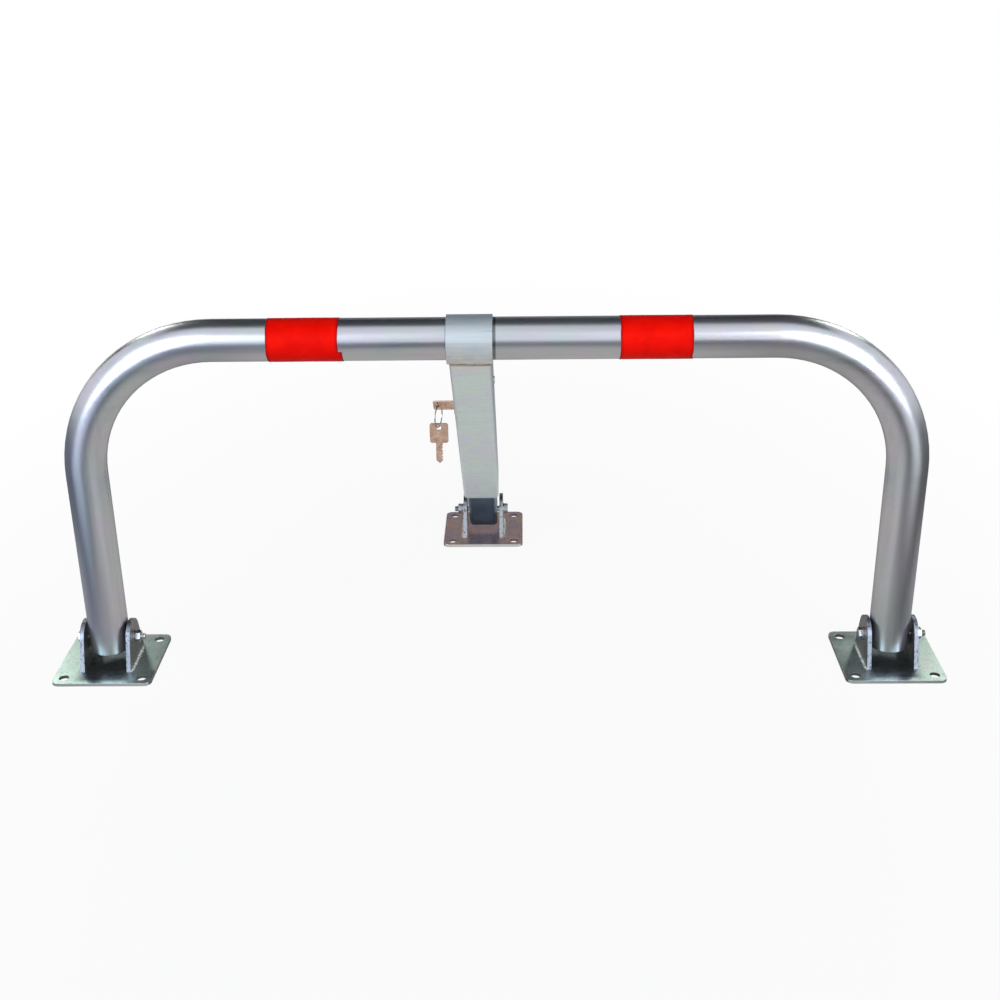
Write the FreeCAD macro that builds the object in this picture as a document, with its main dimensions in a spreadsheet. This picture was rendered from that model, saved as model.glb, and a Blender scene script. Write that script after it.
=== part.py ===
import FreeCAD, Part
import math
import os
import re
import Sketcher
from FreeCAD import Placement, Rotation, Vector
from typing import NamedTuple

# Folding hoop barrier for a parking bay.
# A bent tube hoop hinges on two front feet. A telescopic strut, a square sleeve over a square
# inner tube, runs from a collar on the crossbar down to a third foot behind, and a cam lock in
# the sleeve's left wall holds the two tubes together while the hoop stands.
# X runs along the crossbar, Y from the hoop back to the rear foot, Z up from the ground.

# Driving dimensions in millimetres and degrees
DIMENSIONS = {
    # Hoop tube and its stance
    "hoop_span": 951.7,
    "arm_length": 377.0,
    "hinge_height": 35.0,
    "tube_diameter": 48.0,
    "tube_wall": 2.6,
    "bend_radius": 160.0,
    "tube_tail": 13.5,
    # Adhesive film bands on the crossbar
    "band_width": 80.0,
    "band_film": 0.3,
    "band_gap": 0.05,
    "left_band_place": 211.0,
    "right_band_place": 181.0,
    # Feet: base plate, two hinge ears and their fillet welds
    "plate_side": 120.0,
    "plate_thickness": 4.0,
    "plate_corner": 9.0,
    "anchor_spacing": 94.0,
    "anchor_hole": 12.0,
    "rear_plate_side": 114.0,
    "rear_anchor_spacing": 88.0,
    "ear_play": 1.5,
    "rear_ear_play": 3.5,
    "ear_thickness": 5.0,
    "ear_base": 68.0,
    "ear_top_radius": 22.5,
    "weld_leg": 4.0,
    # Hinge bolts, nuts and washers
    "bolt_diameter": 8.0,
    "bolt_head_flats": 13.0,
    "bolt_head_height": 5.3,
    "bolt_past_nut": 5.0,
    "nut_flats": 13.0,
    "nut_height": 6.8,
    "washer_diameter": 16.0,
    "washer_thickness": 1.6,
    "pivot_clearance": 0.1,
    "thread_clearance": 0.03,
    # Strut: sleeve and inner tube
    "strut_offset": 26.0,
    "sleeve_side": 48.0,
    "sleeve_wall": 3.0,
    "sleeve_corner": 5.0,
    "sleeve_length": 429.0,
    "slide_clearance": 1.0,
    "inner_wall": 3.0,
    "inner_corner": 5.0,
    "inner_tail": 14.0,
    "inner_past_lock": 45.0,
    # Collar on the crossbar and its tack welds
    "collar_width": 51.5,
    "collar_wall": 2.6,
    "collar_play": 1.2,
    "seat_gap": 0.3,
    "weld_gap": 0.1,
    "tack_radius": 2.0,
    "tack_length": 9.0,
    "tack_offset": 6.8,
    # Plug in the sleeve's vent hole
    "vent_distance": 105.0,
    "vent_hole": 6.0,
    "vent_clearance": 0.05,
    "vent_head_diameter": 9.0,
    "vent_head_height": 1.6,
    # Cam lock
    "lock_distance": 175.0,
    "barrel_diameter": 16.0,
    "barrel_length": 28.5,
    "barrel_clearance": 0.1,
    "flange_diameter": 22.0,
    "flange_thickness": 1.5,
    "lock_nut_flats": 20.0,
    "lock_nut_height": 3.0,
    "lock_nut_play": 1.0,
    "plug_diameter": 12.0,
    "plug_clearance": 0.05,
    "wafer_thickness": 1.0,
    "wafer_width": 6.0,
    "wafer_clearance": 0.05,
    "cam_gap": 0.3,
    "cam_width": 10.0,
    "cam_corner": 4.0,
    "cam_thickness": 3.0,
    "cam_past_wall": 0.4,
    "cam_slot_play": 0.6,
    "screw_diameter": 4.0,
    "screw_depth": 2.5,
    "screw_head_diameter": 7.0,
    "screw_head_height": 2.6,
    # Keys and their ring
    "key_thickness": 1.8,
    "bow_length": 26.0,
    "bow_width": 23.0,
    "bow_corner": 3.0,
    "bow_hole": 6.0,
    "bow_hole_edge": 6.0,
    "blade_length": 27.0,
    "blade_width": 8.5,
    "blade_tip": 4.0,
    "first_cut": 4.5,
    "cut_pitch": 4.2,
    "cut_mouth": 3.6,
    "cut_floor": 1.4,
    "keyway_clearance": 0.15,
    "ring_radius": 14.0,
    "ring_wire": 1.6,
    "ring_slack": 1.6,
    "spare_key_slack": 0.8,
    "ring_twist": 15.0,
}

# Depths of the cuts along a key's blade, from its shoulder to its tip, each with a wafer in the lock
KEY_CUT_DEPTHS = (0.8, 1.5, 0.6, 1.3, 1.0)

# Sizes and places that follow from the driving dimensions.
# The rear hinge lies as far behind the front hinges as the crossbar lies above them, so the
# strut stands at 45 degrees and turns by half of the hoop's angle as the hoop folds down.
DERIVED = {
    "front_y": "(plate_side - rear_plate_side) / 4 - arm_length / 2",
    "rear_y": "front_y + arm_length",
    "half_span": "hoop_span / 2",
    "slope": "sqrt(0.5)",
    "strut_length": "arm_length * sqrt(2)",
    "crossbar_height": "hinge_height + arm_length",
    "hinge_above_plate": "hinge_height - plate_thickness",
    "tube_radius": "tube_diameter / 2",
    "pivot_radius": "bolt_diameter / 2 + pivot_clearance",
    "thread_radius": "bolt_diameter / 2 + thread_clearance",
    "sleeve_face": "sleeve_side / 2",
    "sleeve_bore": "sleeve_side - 2 * sleeve_wall",
    "inner_side": "sleeve_bore - 2 * slide_clearance",
    "inner_bore": "inner_side - 2 * inner_wall",
    "lock_above_pivot": "strut_length - lock_distance",
    "collar_bore_radius": "tube_radius + collar_play",
    "collar_radius": "collar_bore_radius + collar_wall",
    "collar_drop": "collar_play - seat_gap",
    "collar_height": "crossbar_height - collar_drop",
    "saddle_radius": "collar_radius + weld_gap",
    "lock_y": "front_y + lock_distance * slope",
    "lock_z": "crossbar_height - lock_distance * slope",
    "vent_y": "front_y + vent_distance * slope",
    "vent_z": "crossbar_height - vent_distance * slope",
    "plug_face": "sleeve_face + flange_thickness",
    "barrel_end": "sleeve_face - barrel_length",
    "plug_end": "barrel_end - cam_gap",
    "cam_back": "plug_end - cam_thickness",
    "cam_reach": "inner_side / 2 + cam_past_wall",
    "cam_sweep": "sqrt(cam_reach ^ 2 - (inner_bore / 2) ^ 2) + cam_slot_play",
    "notch_width": "lock_nut_flats / cos(30) + 2 * lock_nut_play",
    "hole_above_shoulder": "bow_length - bow_hole_edge",
    "hole_play": "(bow_hole - ring_wire) / 2",
    "wire_offset": "hole_play - ring_slack",
    "hang_x": "-strut_offset - plug_face - hole_above_shoulder",
    "hang_y": "lock_y + wire_offset * slope",
    "hang_z": "lock_z - wire_offset * slope",
    "ring_z": "hang_z - ring_radius",
}

# A sketch's own axes and origin, and the points of its lines, arcs and circles
VERTICAL_AXIS, HORIZONTAL_AXIS = range(-2, 0)
START, END, CENTRE = range(1, 4)
ORIGIN_POINT = (HORIZONTAL_AXIS, START)

ALONG_X = Rotation(Vector(0, 1, 0), 90)
AGAINST_X = Rotation(Vector(0, 1, 0), -90)
STRUT_LEAN = Rotation(Vector(1, 0, 0), 45)
# Lock pieces: local Z out of the sleeve's left face, local X down the strut
LOCK_STANCE = STRUT_LEAN * AGAINST_X * Rotation(Vector(0, 0, 1), 180)

doc = FreeCAD.newDocument("ParkingBarrier")
sheet = doc.addObject("Spreadsheet::Sheet", "dims")
for row, (name, number) in enumerate(DIMENSIONS.items(), start=1):
    sheet.set(f"A{row}", name)
    sheet.set(f"B{row}", str(number))
    sheet.setAlias(f"B{row}", name)
doc.recompute()


def expand(text):
    """The expression with its names turned into cells of the sheet."""
    def to_cells(match):
        name = match.group(0)
        if name in DERIVED:
            return "(" + expand(DERIVED[name]) + ")"
        if name in DIMENSIONS:
            return "dims." + name
        return name
    return re.sub(r"[a-z][a-z_]*", to_cells, text)


def value(text):
    """The expression's present value."""
    return float(sheet.evalExpression(expand(text)))


def bind(item, **sizes):
    """Tie properties of an object to expressions."""
    for prop, text in sizes.items():
        item.setExpression(prop, expand(text))


def place(item, x, y, z, turn=Rotation()):
    """Stand an object at a point given by three expressions."""
    item.Placement = Placement(Vector(value(x), value(y), value(z)), turn)
    for axis, text in zip("xyz", (x, y, z)):
        item.setExpression("Placement.Base." + axis, expand(text))
    return item


def drive(sketch, text, *constraint):
    """Add a dimension whose value is an expression."""
    index = sketch.addConstraint(Sketcher.Constraint(*constraint, value(text)))
    sketch.setExpression(f"Constraints[{index}]", expand(text))


def fix(sketch, *constraint):
    """Add a constraint that has no value."""
    sketch.addConstraint(Sketcher.Constraint(*constraint))


def pin(sketch, geometry, point, x, y):
    """Hold a point of the sketch at x, y from the sketch's origin."""
    for kind, text, axis in (("DistanceX", x, VERTICAL_AXIS), ("DistanceY", y, HORIZONTAL_AXIS)):
        if text == "0":
            fix(sketch, "PointOnObject", geometry, point, axis)
        else:
            drive(sketch, text, kind, *ORIGIN_POINT, geometry, point)


def add_line(sketch, start, end):
    return sketch.addGeometry(Part.LineSegment(start, end), False)


def add_arc(sketch, centre, radius, start_angle, end_angle):
    circle = Part.Circle(centre, Vector(0, 0, 1), radius)
    return sketch.addGeometry(Part.ArcOfCircle(circle, start_angle, end_angle), False)


def add_circle(sketch, radius, x="0", y="0"):
    """A round outline."""
    centre = Vector(value(x), value(y), 0)
    index = sketch.addGeometry(Part.Circle(centre, Vector(0, 0, 1), value(radius)), False)
    drive(sketch, radius, "Radius", index)
    pin(sketch, index, CENTRE, x, y)


def add_rectangle(sketch, width, height, x, y):
    """A rectangle whose lower left corner stands at x, y."""
    left, bottom = value(x), value(y)
    right, top = left + value(width), bottom + value(height)
    corners = [Vector(left, bottom), Vector(right, bottom), Vector(right, top), Vector(left, top)]
    sides = [add_line(sketch, corners[side - 1], corners[side]) for side in range(4)]
    for side in range(4):
        fix(sketch, "Coincident", sides[side - 1], END, sides[side], START)
        fix(sketch, "Horizontal" if side % 2 else "Vertical", sides[side])
    drive(sketch, width, "DistanceX", sides[1], START, sides[1], END)
    drive(sketch, height, "DistanceY", sides[2], START, sides[2], END)
    pin(sketch, sides[1], START, x, y)


def add_rounded_rectangle(sketch, width, height, radius, x="0", y="0"):
    """A rectangle with round corners about the point x, y."""
    corner_x = value(width) / 2 - value(radius)
    corner_y = value(height) / 2 - value(radius)
    middle = Vector(value(x), value(y))
    arcs = []
    for turn, (right, up) in enumerate(((1, -1), (1, 1), (-1, 1), (-1, -1))):
        centre = middle + Vector(right * corner_x, up * corner_y)
        start = (turn - 1) * math.pi / 2
        arcs.append(add_arc(sketch, centre, value(radius), start, start + math.pi / 2))
    sides = []
    for turn in range(4):
        following = arcs[(turn + 1) % 4]
        start = sketch.getPoint(arcs[turn], END)
        sides.append(add_line(sketch, start, sketch.getPoint(following, START)))
        fix(sketch, "Tangent", arcs[turn], END, sides[turn], START)
        fix(sketch, "Tangent", sides[turn], END, following, START)
        fix(sketch, "Horizontal" if turn % 2 else "Vertical", sides[turn])
    for arc in arcs[1:]:
        fix(sketch, "Equal", arcs[0], arc)
    drive(sketch, radius, "Radius", arcs[0])
    drive(sketch, width, "DistanceX", sides[2], START, sides[0], START)
    drive(sketch, height, "DistanceY", sides[3], START, sides[1], START)
    pin(sketch, arcs[3], CENTRE, f"{x} - {width} / 2 + {radius}", f"{y} - {height} / 2 + {radius}")


def add_lug(sketch, base, height, radius):
    """A lug: flat base on the sketch's axis, straight sides that run tangent into a round top."""
    half, rise, top = value(base) / 2, value(height), value(radius)
    tangent = math.acos(top / math.hypot(half, rise)) - math.atan2(rise, half)
    centre = Vector(0, rise)
    right_foot, left_foot = Vector(half, 0), Vector(-half, 0)
    arc = add_arc(sketch, centre, top, tangent, math.pi - tangent)
    bottom = add_line(sketch, left_foot, right_foot)
    right = add_line(sketch, right_foot, sketch.getPoint(arc, START))
    left = add_line(sketch, sketch.getPoint(arc, END), left_foot)
    fix(sketch, "Coincident", bottom, END, right, START)
    fix(sketch, "Coincident", left, END, bottom, START)
    fix(sketch, "Tangent", right, END, arc, START)
    fix(sketch, "Tangent", arc, END, left, START)
    fix(sketch, "Horizontal", bottom)
    fix(sketch, "Symmetric", bottom, START, bottom, END, *ORIGIN_POINT)
    drive(sketch, base, "DistanceX", bottom, START, bottom, END)
    drive(sketch, radius, "Radius", arc)
    pin(sketch, arc, CENTRE, "0", height)


def add_hoop_path(sketch, span, height, radius):
    """A goal-shaped path: up from the origin, over two round corners and down again."""
    width, top, bend = value(span), value(height), value(radius)
    quarter = math.pi / 2
    left_bend = add_arc(sketch, Vector(bend, top - bend), bend, quarter, 2 * quarter)
    right_bend = add_arc(sketch, Vector(width - bend, top - bend), bend, 0, quarter)
    left = add_line(sketch, Vector(0, 0), sketch.getPoint(left_bend, END))
    bar = add_line(sketch, sketch.getPoint(left_bend, START), sketch.getPoint(right_bend, END))
    right = add_line(sketch, sketch.getPoint(right_bend, START), Vector(width, 0))
    fix(sketch, "Coincident", left, START, *ORIGIN_POINT)
    fix(sketch, "Vertical", left)
    fix(sketch, "Tangent", left, END, left_bend, END)
    fix(sketch, "Tangent", left_bend, START, bar, START)
    fix(sketch, "Horizontal", bar)
    fix(sketch, "Tangent", bar, END, right_bend, END)
    fix(sketch, "Tangent", right_bend, START, right, START)
    fix(sketch, "Vertical", right)
    fix(sketch, "PointOnObject", right, END, HORIZONTAL_AXIS)
    fix(sketch, "Equal", left_bend, right_bend)
    drive(sketch, radius, "Radius", left_bend)
    drive(sketch, span, "DistanceX", *ORIGIN_POINT, right, END)
    drive(sketch, height, "DistanceY", *ORIGIN_POINT, bar, START)


def new_body(label):
    body = doc.addObject("PartDesign::Body", label)
    body.Label = label
    return body


def new_sketch(body, role, name):
    """A sketch on one of the body's own origin planes."""
    sketch = body.newObject("Sketcher::SketchObject", f"{body.Name}_{name}")
    plane = next(item for item in body.Origin.OriginFeatures if item.Role == role)
    sketch.AttachmentSupport = [(plane, "")]
    sketch.MapMode = "FlatFace"
    return sketch


def pad(body, sketch, length, back=None):
    """Pad a sketch along its normal, and by another length against it where one is given."""
    feature = body.newObject("PartDesign::Pad", f"{sketch.Name}_pad")
    feature.Profile = sketch
    bind(feature, Length=length)
    if back:
        feature.SideType = "Two sides"
        bind(feature, Length2=back)
    doc.recompute()
    return feature


def middle_pad(body, sketch, length):
    """Pad a sketch half to each side."""
    feature = pad(body, sketch, length)
    feature.SideType = "Symmetric"
    return feature


def cut_through(body, sketch, side="Symmetric", along_normal=False):
    """Cut a sketch right through the body, on both sides of its plane or on one."""
    doc.recompute()
    volume = body.Shape.Volume
    feature = body.newObject("PartDesign::Pocket", f"{sketch.Name}_cut")
    feature.Profile = sketch
    feature.Type = "ThroughAll"
    feature.SideType = side
    feature.Reversed = along_normal
    doc.recompute()
    if not body.Shape.Volume < volume:
        raise RuntimeError(f"{feature.Name} cuts nothing")


def cylinder(name, radius, height, base="0"):
    """A cylinder up from its base along local Z."""
    item = doc.addObject("Part::Cylinder", name)
    bind(item, Radius=radius, Height=height)
    return place(item, "0", "0", base)


def hexagon(name, flats, height, base="0"):
    """A hexagonal prism up from its base along local Z."""
    item = doc.addObject("Part::Prism", name)
    item.Polygon = 6
    bind(item, Circumradius=f"{flats} / 2 / cos(30)", Height=height)
    return place(item, "0", "0", base)


def block(name, length, width, base, height):
    """A box about local Z, its length along X and its width along Y, up from its base."""
    item = doc.addObject("Part::Box", name)
    bind(item, Length=length, Width=width, Height=height)
    return place(item, f"-({length}) / 2", f"-({width}) / 2", base)


def combine(kind, label, first, second):
    item = doc.addObject(f"Part::{kind}", label)
    item.Label = label
    item.Base = first
    item.Tool = second
    return item


def join(label, first, second):
    return combine("Fuse", label, first, second)


def cut(label, base, tool):
    return combine("Cut", label, base, tool)


def overlap(label, first, second):
    return combine("Common", label, first, second)


def gather(label, items):
    """Several like solids in one node."""
    item = doc.addObject("Part::Compound", label)
    item.Label = label
    item.Links = items
    return item


class Foot(NamedTuple):
    """A foot's name, the names of its left and right ear, and the expressions that size and place it."""
    name: str
    ears: tuple
    x: str
    y: str
    half_gap: str
    plate_side: str
    anchor_spacing: str
    turn: Rotation
    bolt_way: int

    @property
    def outside(self):
        """Distance from the foot's middle to the outside of an ear."""
        return f"({self.half_gap} + ear_thickness)"

    @property
    def half_grip(self):
        """Distance from the foot's middle to the outside of a washer."""
        return f"({self.half_gap} + ear_thickness + washer_thickness)"


def foot_plate(foot):
    body = new_body(f"{foot.name}_foot_plate")
    outline = new_sketch(body, "XY_Plane", "outline")
    add_rounded_rectangle(outline, foot.plate_side, foot.plate_side, "plate_corner")
    pad(body, outline, "plate_thickness")
    holes = new_sketch(body, "XY_Plane", "holes")
    hole_places = (f"{foot.anchor_spacing} / 2", f"-{foot.anchor_spacing} / 2")
    for across in hole_places:
        for back in hole_places:
            add_circle(holes, "anchor_hole / 2", across, back)
    cut_through(body, holes)
    return place(body, foot.x, foot.y, "0")


def foot_ear(foot, ear, x):
    """A hinge ear that stands on the plate, its left face at x."""
    body = new_body(f"{foot.name}_foot_{ear}_ear")
    outline = new_sketch(body, "YZ_Plane", "outline")
    add_lug(outline, "ear_base", "hinge_above_plate", "ear_top_radius")
    add_circle(outline, "pivot_radius", "0", "hinge_above_plate")
    pad(body, outline, "ear_thickness")
    return place(body, x, foot.y, "plate_thickness")


def foot_welds(foot):
    """A fillet weld along the outside of each ear."""
    left = ("left", f"{foot.x} - {foot.outside}", "-weld_leg", "0")
    right = ("right", f"{foot.x} + {foot.outside}", "0", "weld_leg")
    beads = []
    for side, root, low, high in (left, right):
        bead = doc.addObject("Part::Wedge", f"{foot.name}_weld_{side}")
        bind(bead, Xmin=low, Xmax=high, X2min="0", X2max="0")
        bind(bead, Ymin="0", Ymax="weld_leg")
        bind(bead, Zmin="0", Zmax="ear_base", Z2min="0", Z2max="ear_base")
        upright = Rotation(Vector(1, 0, 0), 90)
        beads.append(place(bead, root, f"{foot.y} + ear_base / 2", "plate_thickness", upright))
    return gather(f"{foot.name}_foot_welds", beads)


def hinge_fasteners(foot):
    """Bolt, nut and two washers along X."""
    name = foot.name
    head_seat = f"{foot.x} - {foot.bolt_way} * {foot.half_grip}"
    nut_seat = f"{foot.x} + {foot.bolt_way} * {foot.half_grip}"
    washer_seat = f"{foot.x} + {foot.bolt_way} * {foot.outside}"

    def on_hinge(item, x):
        return place(item, x, foot.y, "hinge_height", foot.turn)

    head = hexagon(f"{name}_bolt_head", "bolt_head_flats", "bolt_head_height", "-bolt_head_height")
    length = f"2 * {foot.half_grip} + nut_height + bolt_past_nut"
    shank = cylinder(f"{name}_bolt_shank", "bolt_diameter / 2", length)
    bolt = on_hinge(join(f"{name}_pivot_bolt", head, shank), head_seat)

    nut_blank = hexagon(f"{name}_nut_blank", "nut_flats", "nut_height")
    nut_bore = cylinder(f"{name}_nut_bore", "thread_radius", "nut_height")
    nut = on_hinge(cut(f"{name}_pivot_nut", nut_blank, nut_bore), nut_seat)

    washers = []
    for end, seat in (("head", head_seat), ("nut", washer_seat)):
        disc = cylinder(f"{name}_{end}_disc", "washer_diameter / 2", "washer_thickness")
        bore = cylinder(f"{name}_{end}_disc_bore", "pivot_radius", "washer_thickness")
        washers.append(on_hinge(cut(f"{name}_{end}_washer", disc, bore), seat))
    return [bolt, nut, gather(f"{name}_pivot_washers", washers)]


def foot_pieces(foot):
    """One foot: plate, two ears, their welds and the hinge bolt with its nut and washers."""
    left_ear, right_ear = foot.ears
    pieces = [foot_plate(foot)]
    pieces.append(foot_ear(foot, left_ear, f"{foot.x} - {foot.outside}"))
    pieces.append(foot_ear(foot, right_ear, f"{foot.x} + {foot.half_gap}"))
    pieces.append(foot_welds(foot))
    return pieces + hinge_fasteners(foot)


def hoop_tube():
    """Round tube bent into a hoop, cross-drilled near both ends for the hinge bolts."""
    body = new_body("hoop_tube")
    path = new_sketch(body, "XZ_Plane", "path")
    add_hoop_path(path, "hoop_span", "arm_length + tube_tail", "bend_radius")
    for kind, radius in (("Additive", "tube_radius"), ("Subtractive", "tube_radius - tube_wall")):
        section = new_sketch(body, "XY_Plane", f"{kind}_section")
        add_circle(section, radius)
        sweep = body.newObject(f"PartDesign::{kind}Pipe", f"{kind}_sweep")
        sweep.Profile = section
        sweep.Spine = path
        doc.recompute()
    drilling = new_sketch(body, "YZ_Plane", "drilling")
    add_circle(drilling, "pivot_radius", "0", "tube_tail")
    cut_through(body, drilling)
    return place(body, "-half_span", "front_y", "hinge_height - tube_tail")


def film_band(label, x):
    """A band of film round the crossbar, centred at x."""
    body = new_body(label)
    section = new_sketch(body, "YZ_Plane", "section")
    add_circle(section, "tube_radius + band_gap")
    add_circle(section, "tube_radius + band_gap + band_film")
    middle_pad(body, section, "band_width")
    return place(body, x, "front_y", "crossbar_height")


def collar_ring():
    """A short pipe that hangs loose on the crossbar, its bore resting on the tube's top."""
    body = new_body("collar_ring")
    section = new_sketch(body, "YZ_Plane", "section")
    add_circle(section, "collar_bore_radius")
    add_circle(section, "collar_radius")
    middle_pad(body, section, "collar_width")
    return place(body, "-strut_offset", "front_y", "collar_height")


def strut_sleeve():
    """Square sleeve, saddled to the collar and drilled for the lock and the vent plug."""
    body = new_body("sleeve_blank")
    section = new_sketch(body, "XY_Plane", "section")
    add_rounded_rectangle(section, "sleeve_side", "sleeve_side", "sleeve_corner")
    add_rounded_rectangle(section, "sleeve_bore", "sleeve_bore", "sleeve_corner - sleeve_wall")
    blank = pad(body, section, "sleeve_length")
    blank.Reversed = True
    lock_hole = new_sketch(body, "YZ_Plane", "lock_hole")
    add_circle(lock_hole, "barrel_diameter / 2 + barrel_clearance", "0", "-lock_distance")
    cut_through(body, lock_hole, "One side")
    vent = new_sketch(body, "YZ_Plane", "vent")
    add_circle(vent, "vent_hole / 2", "0", "-vent_distance")
    cut_through(body, vent, "One side", along_normal=True)
    place(body, "-strut_offset", "front_y", "crossbar_height", STRUT_LEAN)
    saddle = cylinder("saddle", "saddle_radius", "2 * sleeve_side")
    place(saddle, "-strut_offset - sleeve_side", "front_y", "collar_height", ALONG_X)
    return cut("strut_sleeve", body, saddle)


def collar_welds(sleeve):
    """Tack welds in the corners between the collar and the sleeve's front and rear walls."""
    tacks = []
    for wall, face in (("front", "-sleeve_face"), ("rear", "sleeve_face")):
        across = f"(collar_drop * slope + {face})"
        along = f"sqrt(saddle_radius ^ 2 - {across} ^ 2)"
        bead = cylinder(f"{wall}_tack_bead", "tack_radius", "tack_length")
        left = "-strut_offset - tack_offset - tack_length / 2"
        corner_y = f"front_y + ({along} + {across}) * slope"
        corner_z = f"collar_height - ({along} - {across}) * slope"
        place(bead, left, corner_y, corner_z, ALONG_X)
        tacks.append(cut(f"{wall}_tack", cut(f"{wall}_tack_saddled", bead, sleeve.Tool), sleeve.Base))
    return gather("collar_welds", tacks)


def sleeve_vent_plug():
    """Push-in plug in the sleeve's right wall."""
    head = cylinder("vent_plug_head", "vent_head_diameter / 2", "vent_head_height", "sleeve_face")
    inner_face = "sleeve_face - sleeve_wall"
    shank = cylinder("vent_plug_shank", "vent_hole / 2 - vent_clearance", "sleeve_wall", inner_face)
    plug = join("sleeve_vent_plug", head, shank)
    return place(plug, "-strut_offset", "vent_y", "vent_z", STRUT_LEAN * ALONG_X)


def inner_tube():
    """Square inner tube: hinge hole at its foot, notch for the lock's barrel and slot for its cam."""
    body = new_body("inner_tube")
    section = new_sketch(body, "XY_Plane", "section")
    add_rounded_rectangle(section, "inner_side", "inner_side", "inner_corner")
    add_rounded_rectangle(section, "inner_bore", "inner_bore", "inner_corner - inner_wall")
    pad(body, section, "lock_above_pivot + inner_past_lock", "inner_tail")
    drilling = new_sketch(body, "YZ_Plane", "drilling")
    add_circle(drilling, "pivot_radius")
    cut_through(body, drilling)
    notch_end = new_sketch(body, "YZ_Plane", "notch_end")
    add_circle(notch_end, "notch_width / 2", "0", "lock_above_pivot")
    cut_through(body, notch_end, "One side")
    notch = new_sketch(body, "YZ_Plane", "notch")
    add_rectangle(notch, "notch_width", "2 * inner_past_lock", "-notch_width / 2", "lock_above_pivot")
    cut_through(body, notch, "One side")
    slot = new_sketch(body, "XZ_Plane", "cam_slot")
    slot_width = "cam_thickness + 2 * cam_slot_play"
    slot_height = "cam_sweep + cam_width / 2 + cam_slot_play"
    slot_left, slot_foot = "-plug_end - cam_slot_play", "lock_above_pivot - cam_sweep"
    add_rectangle(slot, slot_width, slot_height, slot_left, slot_foot)
    cut_through(body, slot, "One side")
    return place(body, "-strut_offset", "rear_y", "hinge_height", STRUT_LEAN)


def at_lock(item):
    return place(item, "-strut_offset", "lock_y", "lock_z", LOCK_STANCE)


def lock_barrel():
    """Flanged barrel, bored for the plug."""
    flange = cylinder("lock_flange", "flange_diameter / 2", "flange_thickness", "sleeve_face")
    stem = cylinder("lock_stem", "barrel_diameter / 2", "barrel_length", "barrel_end")
    bore_radius = "plug_diameter / 2 + plug_clearance"
    bore = cylinder("lock_bore", bore_radius, "plug_face - barrel_end", "barrel_end")
    return cut("lock_barrel", join("lock_barrel_blank", stem, flange), bore)


def lock_nut():
    """Thin nut that clamps the barrel from inside the sleeve."""
    base = "sleeve_face - sleeve_wall - lock_nut_height"
    blank = hexagon("lock_nut_blank", "lock_nut_flats", "lock_nut_height", base)
    bore_radius = "barrel_diameter / 2 + thread_clearance"
    return cut("lock_nut", blank, cylinder("lock_nut_bore", bore_radius, "lock_nut_height", base))


def wafer_level(number):
    """Height of a wafer's middle, which is also that of its cut in the key."""
    return f"(plug_face - first_cut - {number} * cut_pitch)"


def lock_plug():
    """Plug with a keyway, a slot for each wafer and a tapped end for the cam's screw."""
    plug = cylinder("lock_plug_blank", "plug_diameter / 2", "plug_face - plug_end", "plug_end")
    keyway_width = "blade_width + 2 * keyway_clearance"
    keyway_gap = "key_thickness + 2 * keyway_clearance"
    keyway_depth = "blade_length + keyway_clearance"
    keyway = block("keyway", keyway_width, keyway_gap, f"plug_face - ({keyway_depth})", keyway_depth)
    plug = cut("lock_plug_keyed", plug, keyway)
    slot_width = "wafer_width + 2 * wafer_clearance"
    slot_height = "wafer_thickness + 2 * wafer_clearance"
    for number in range(len(KEY_CUT_DEPTHS)):
        base = f"{wafer_level(number)} - ({slot_height}) / 2"
        slot = block(f"wafer_slot_{number}", "2 * plug_diameter", slot_width, base, slot_height)
        plug = cut(f"lock_plug_slotted_{number}", plug, slot)
    tapping = cylinder("plug_tapping", "screw_diameter / 2 + thread_clearance", "screw_depth", "plug_end")
    return cut("lock_plug", plug, tapping)


def lock_wafers():
    """Wafers across the plug, each drawn flush with it by its own cut in the key."""
    wafers = []
    for number, depth in enumerate(KEY_CUT_DEPTHS):
        base = f"{wafer_level(number)} - wafer_thickness / 2"
        disc_radius = "plug_diameter / 2 - wafer_clearance"
        disc = cylinder(f"wafer_disc_{number}", disc_radius, "wafer_thickness", base)
        strip = block(f"wafer_strip_{number}", "plug_diameter", "wafer_width", base, "wafer_thickness")
        window_width = f"blade_width - {depth} + 2 * keyway_clearance"
        window_gap = "key_thickness + 2 * keyway_clearance"
        window = block(f"wafer_window_{number}", window_width, window_gap, base, "wafer_thickness")
        place(window, "-blade_width / 2 - keyway_clearance", f"-({window_gap}) / 2", base)
        blank = overlap(f"wafer_blank_{number}", disc, strip)
        wafers.append(cut(f"wafer_{number}", blank, window))
    return gather("lock_wafers", wafers)


def lock_cam():
    """Flat bar on the plug's end that turns into the inner tube's slot."""
    body = new_body("lock_cam")
    outline = new_sketch(body, "XY_Plane", "outline")
    bar_length, bar_middle = "cam_reach + cam_width / 2", "cam_reach / 2 - cam_width / 4"
    add_rounded_rectangle(outline, f"({bar_length})", "cam_width", "cam_corner", bar_middle)
    add_circle(outline, "screw_diameter / 2 + thread_clearance")
    outline.setExpression("AttachmentOffset.Base.z", expand("cam_back"))
    pad(body, outline, "cam_thickness")
    return body


def cam_screw():
    shank_length = "cam_thickness + screw_depth"
    shank = cylinder("cam_screw_shank", "screw_diameter / 2", shank_length, "cam_back")
    head_base = "cam_back - screw_head_height"
    head = cylinder("cam_screw_head", "screw_head_diameter / 2", "screw_head_height", head_base)
    return join("cam_screw", shank, head)


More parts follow.
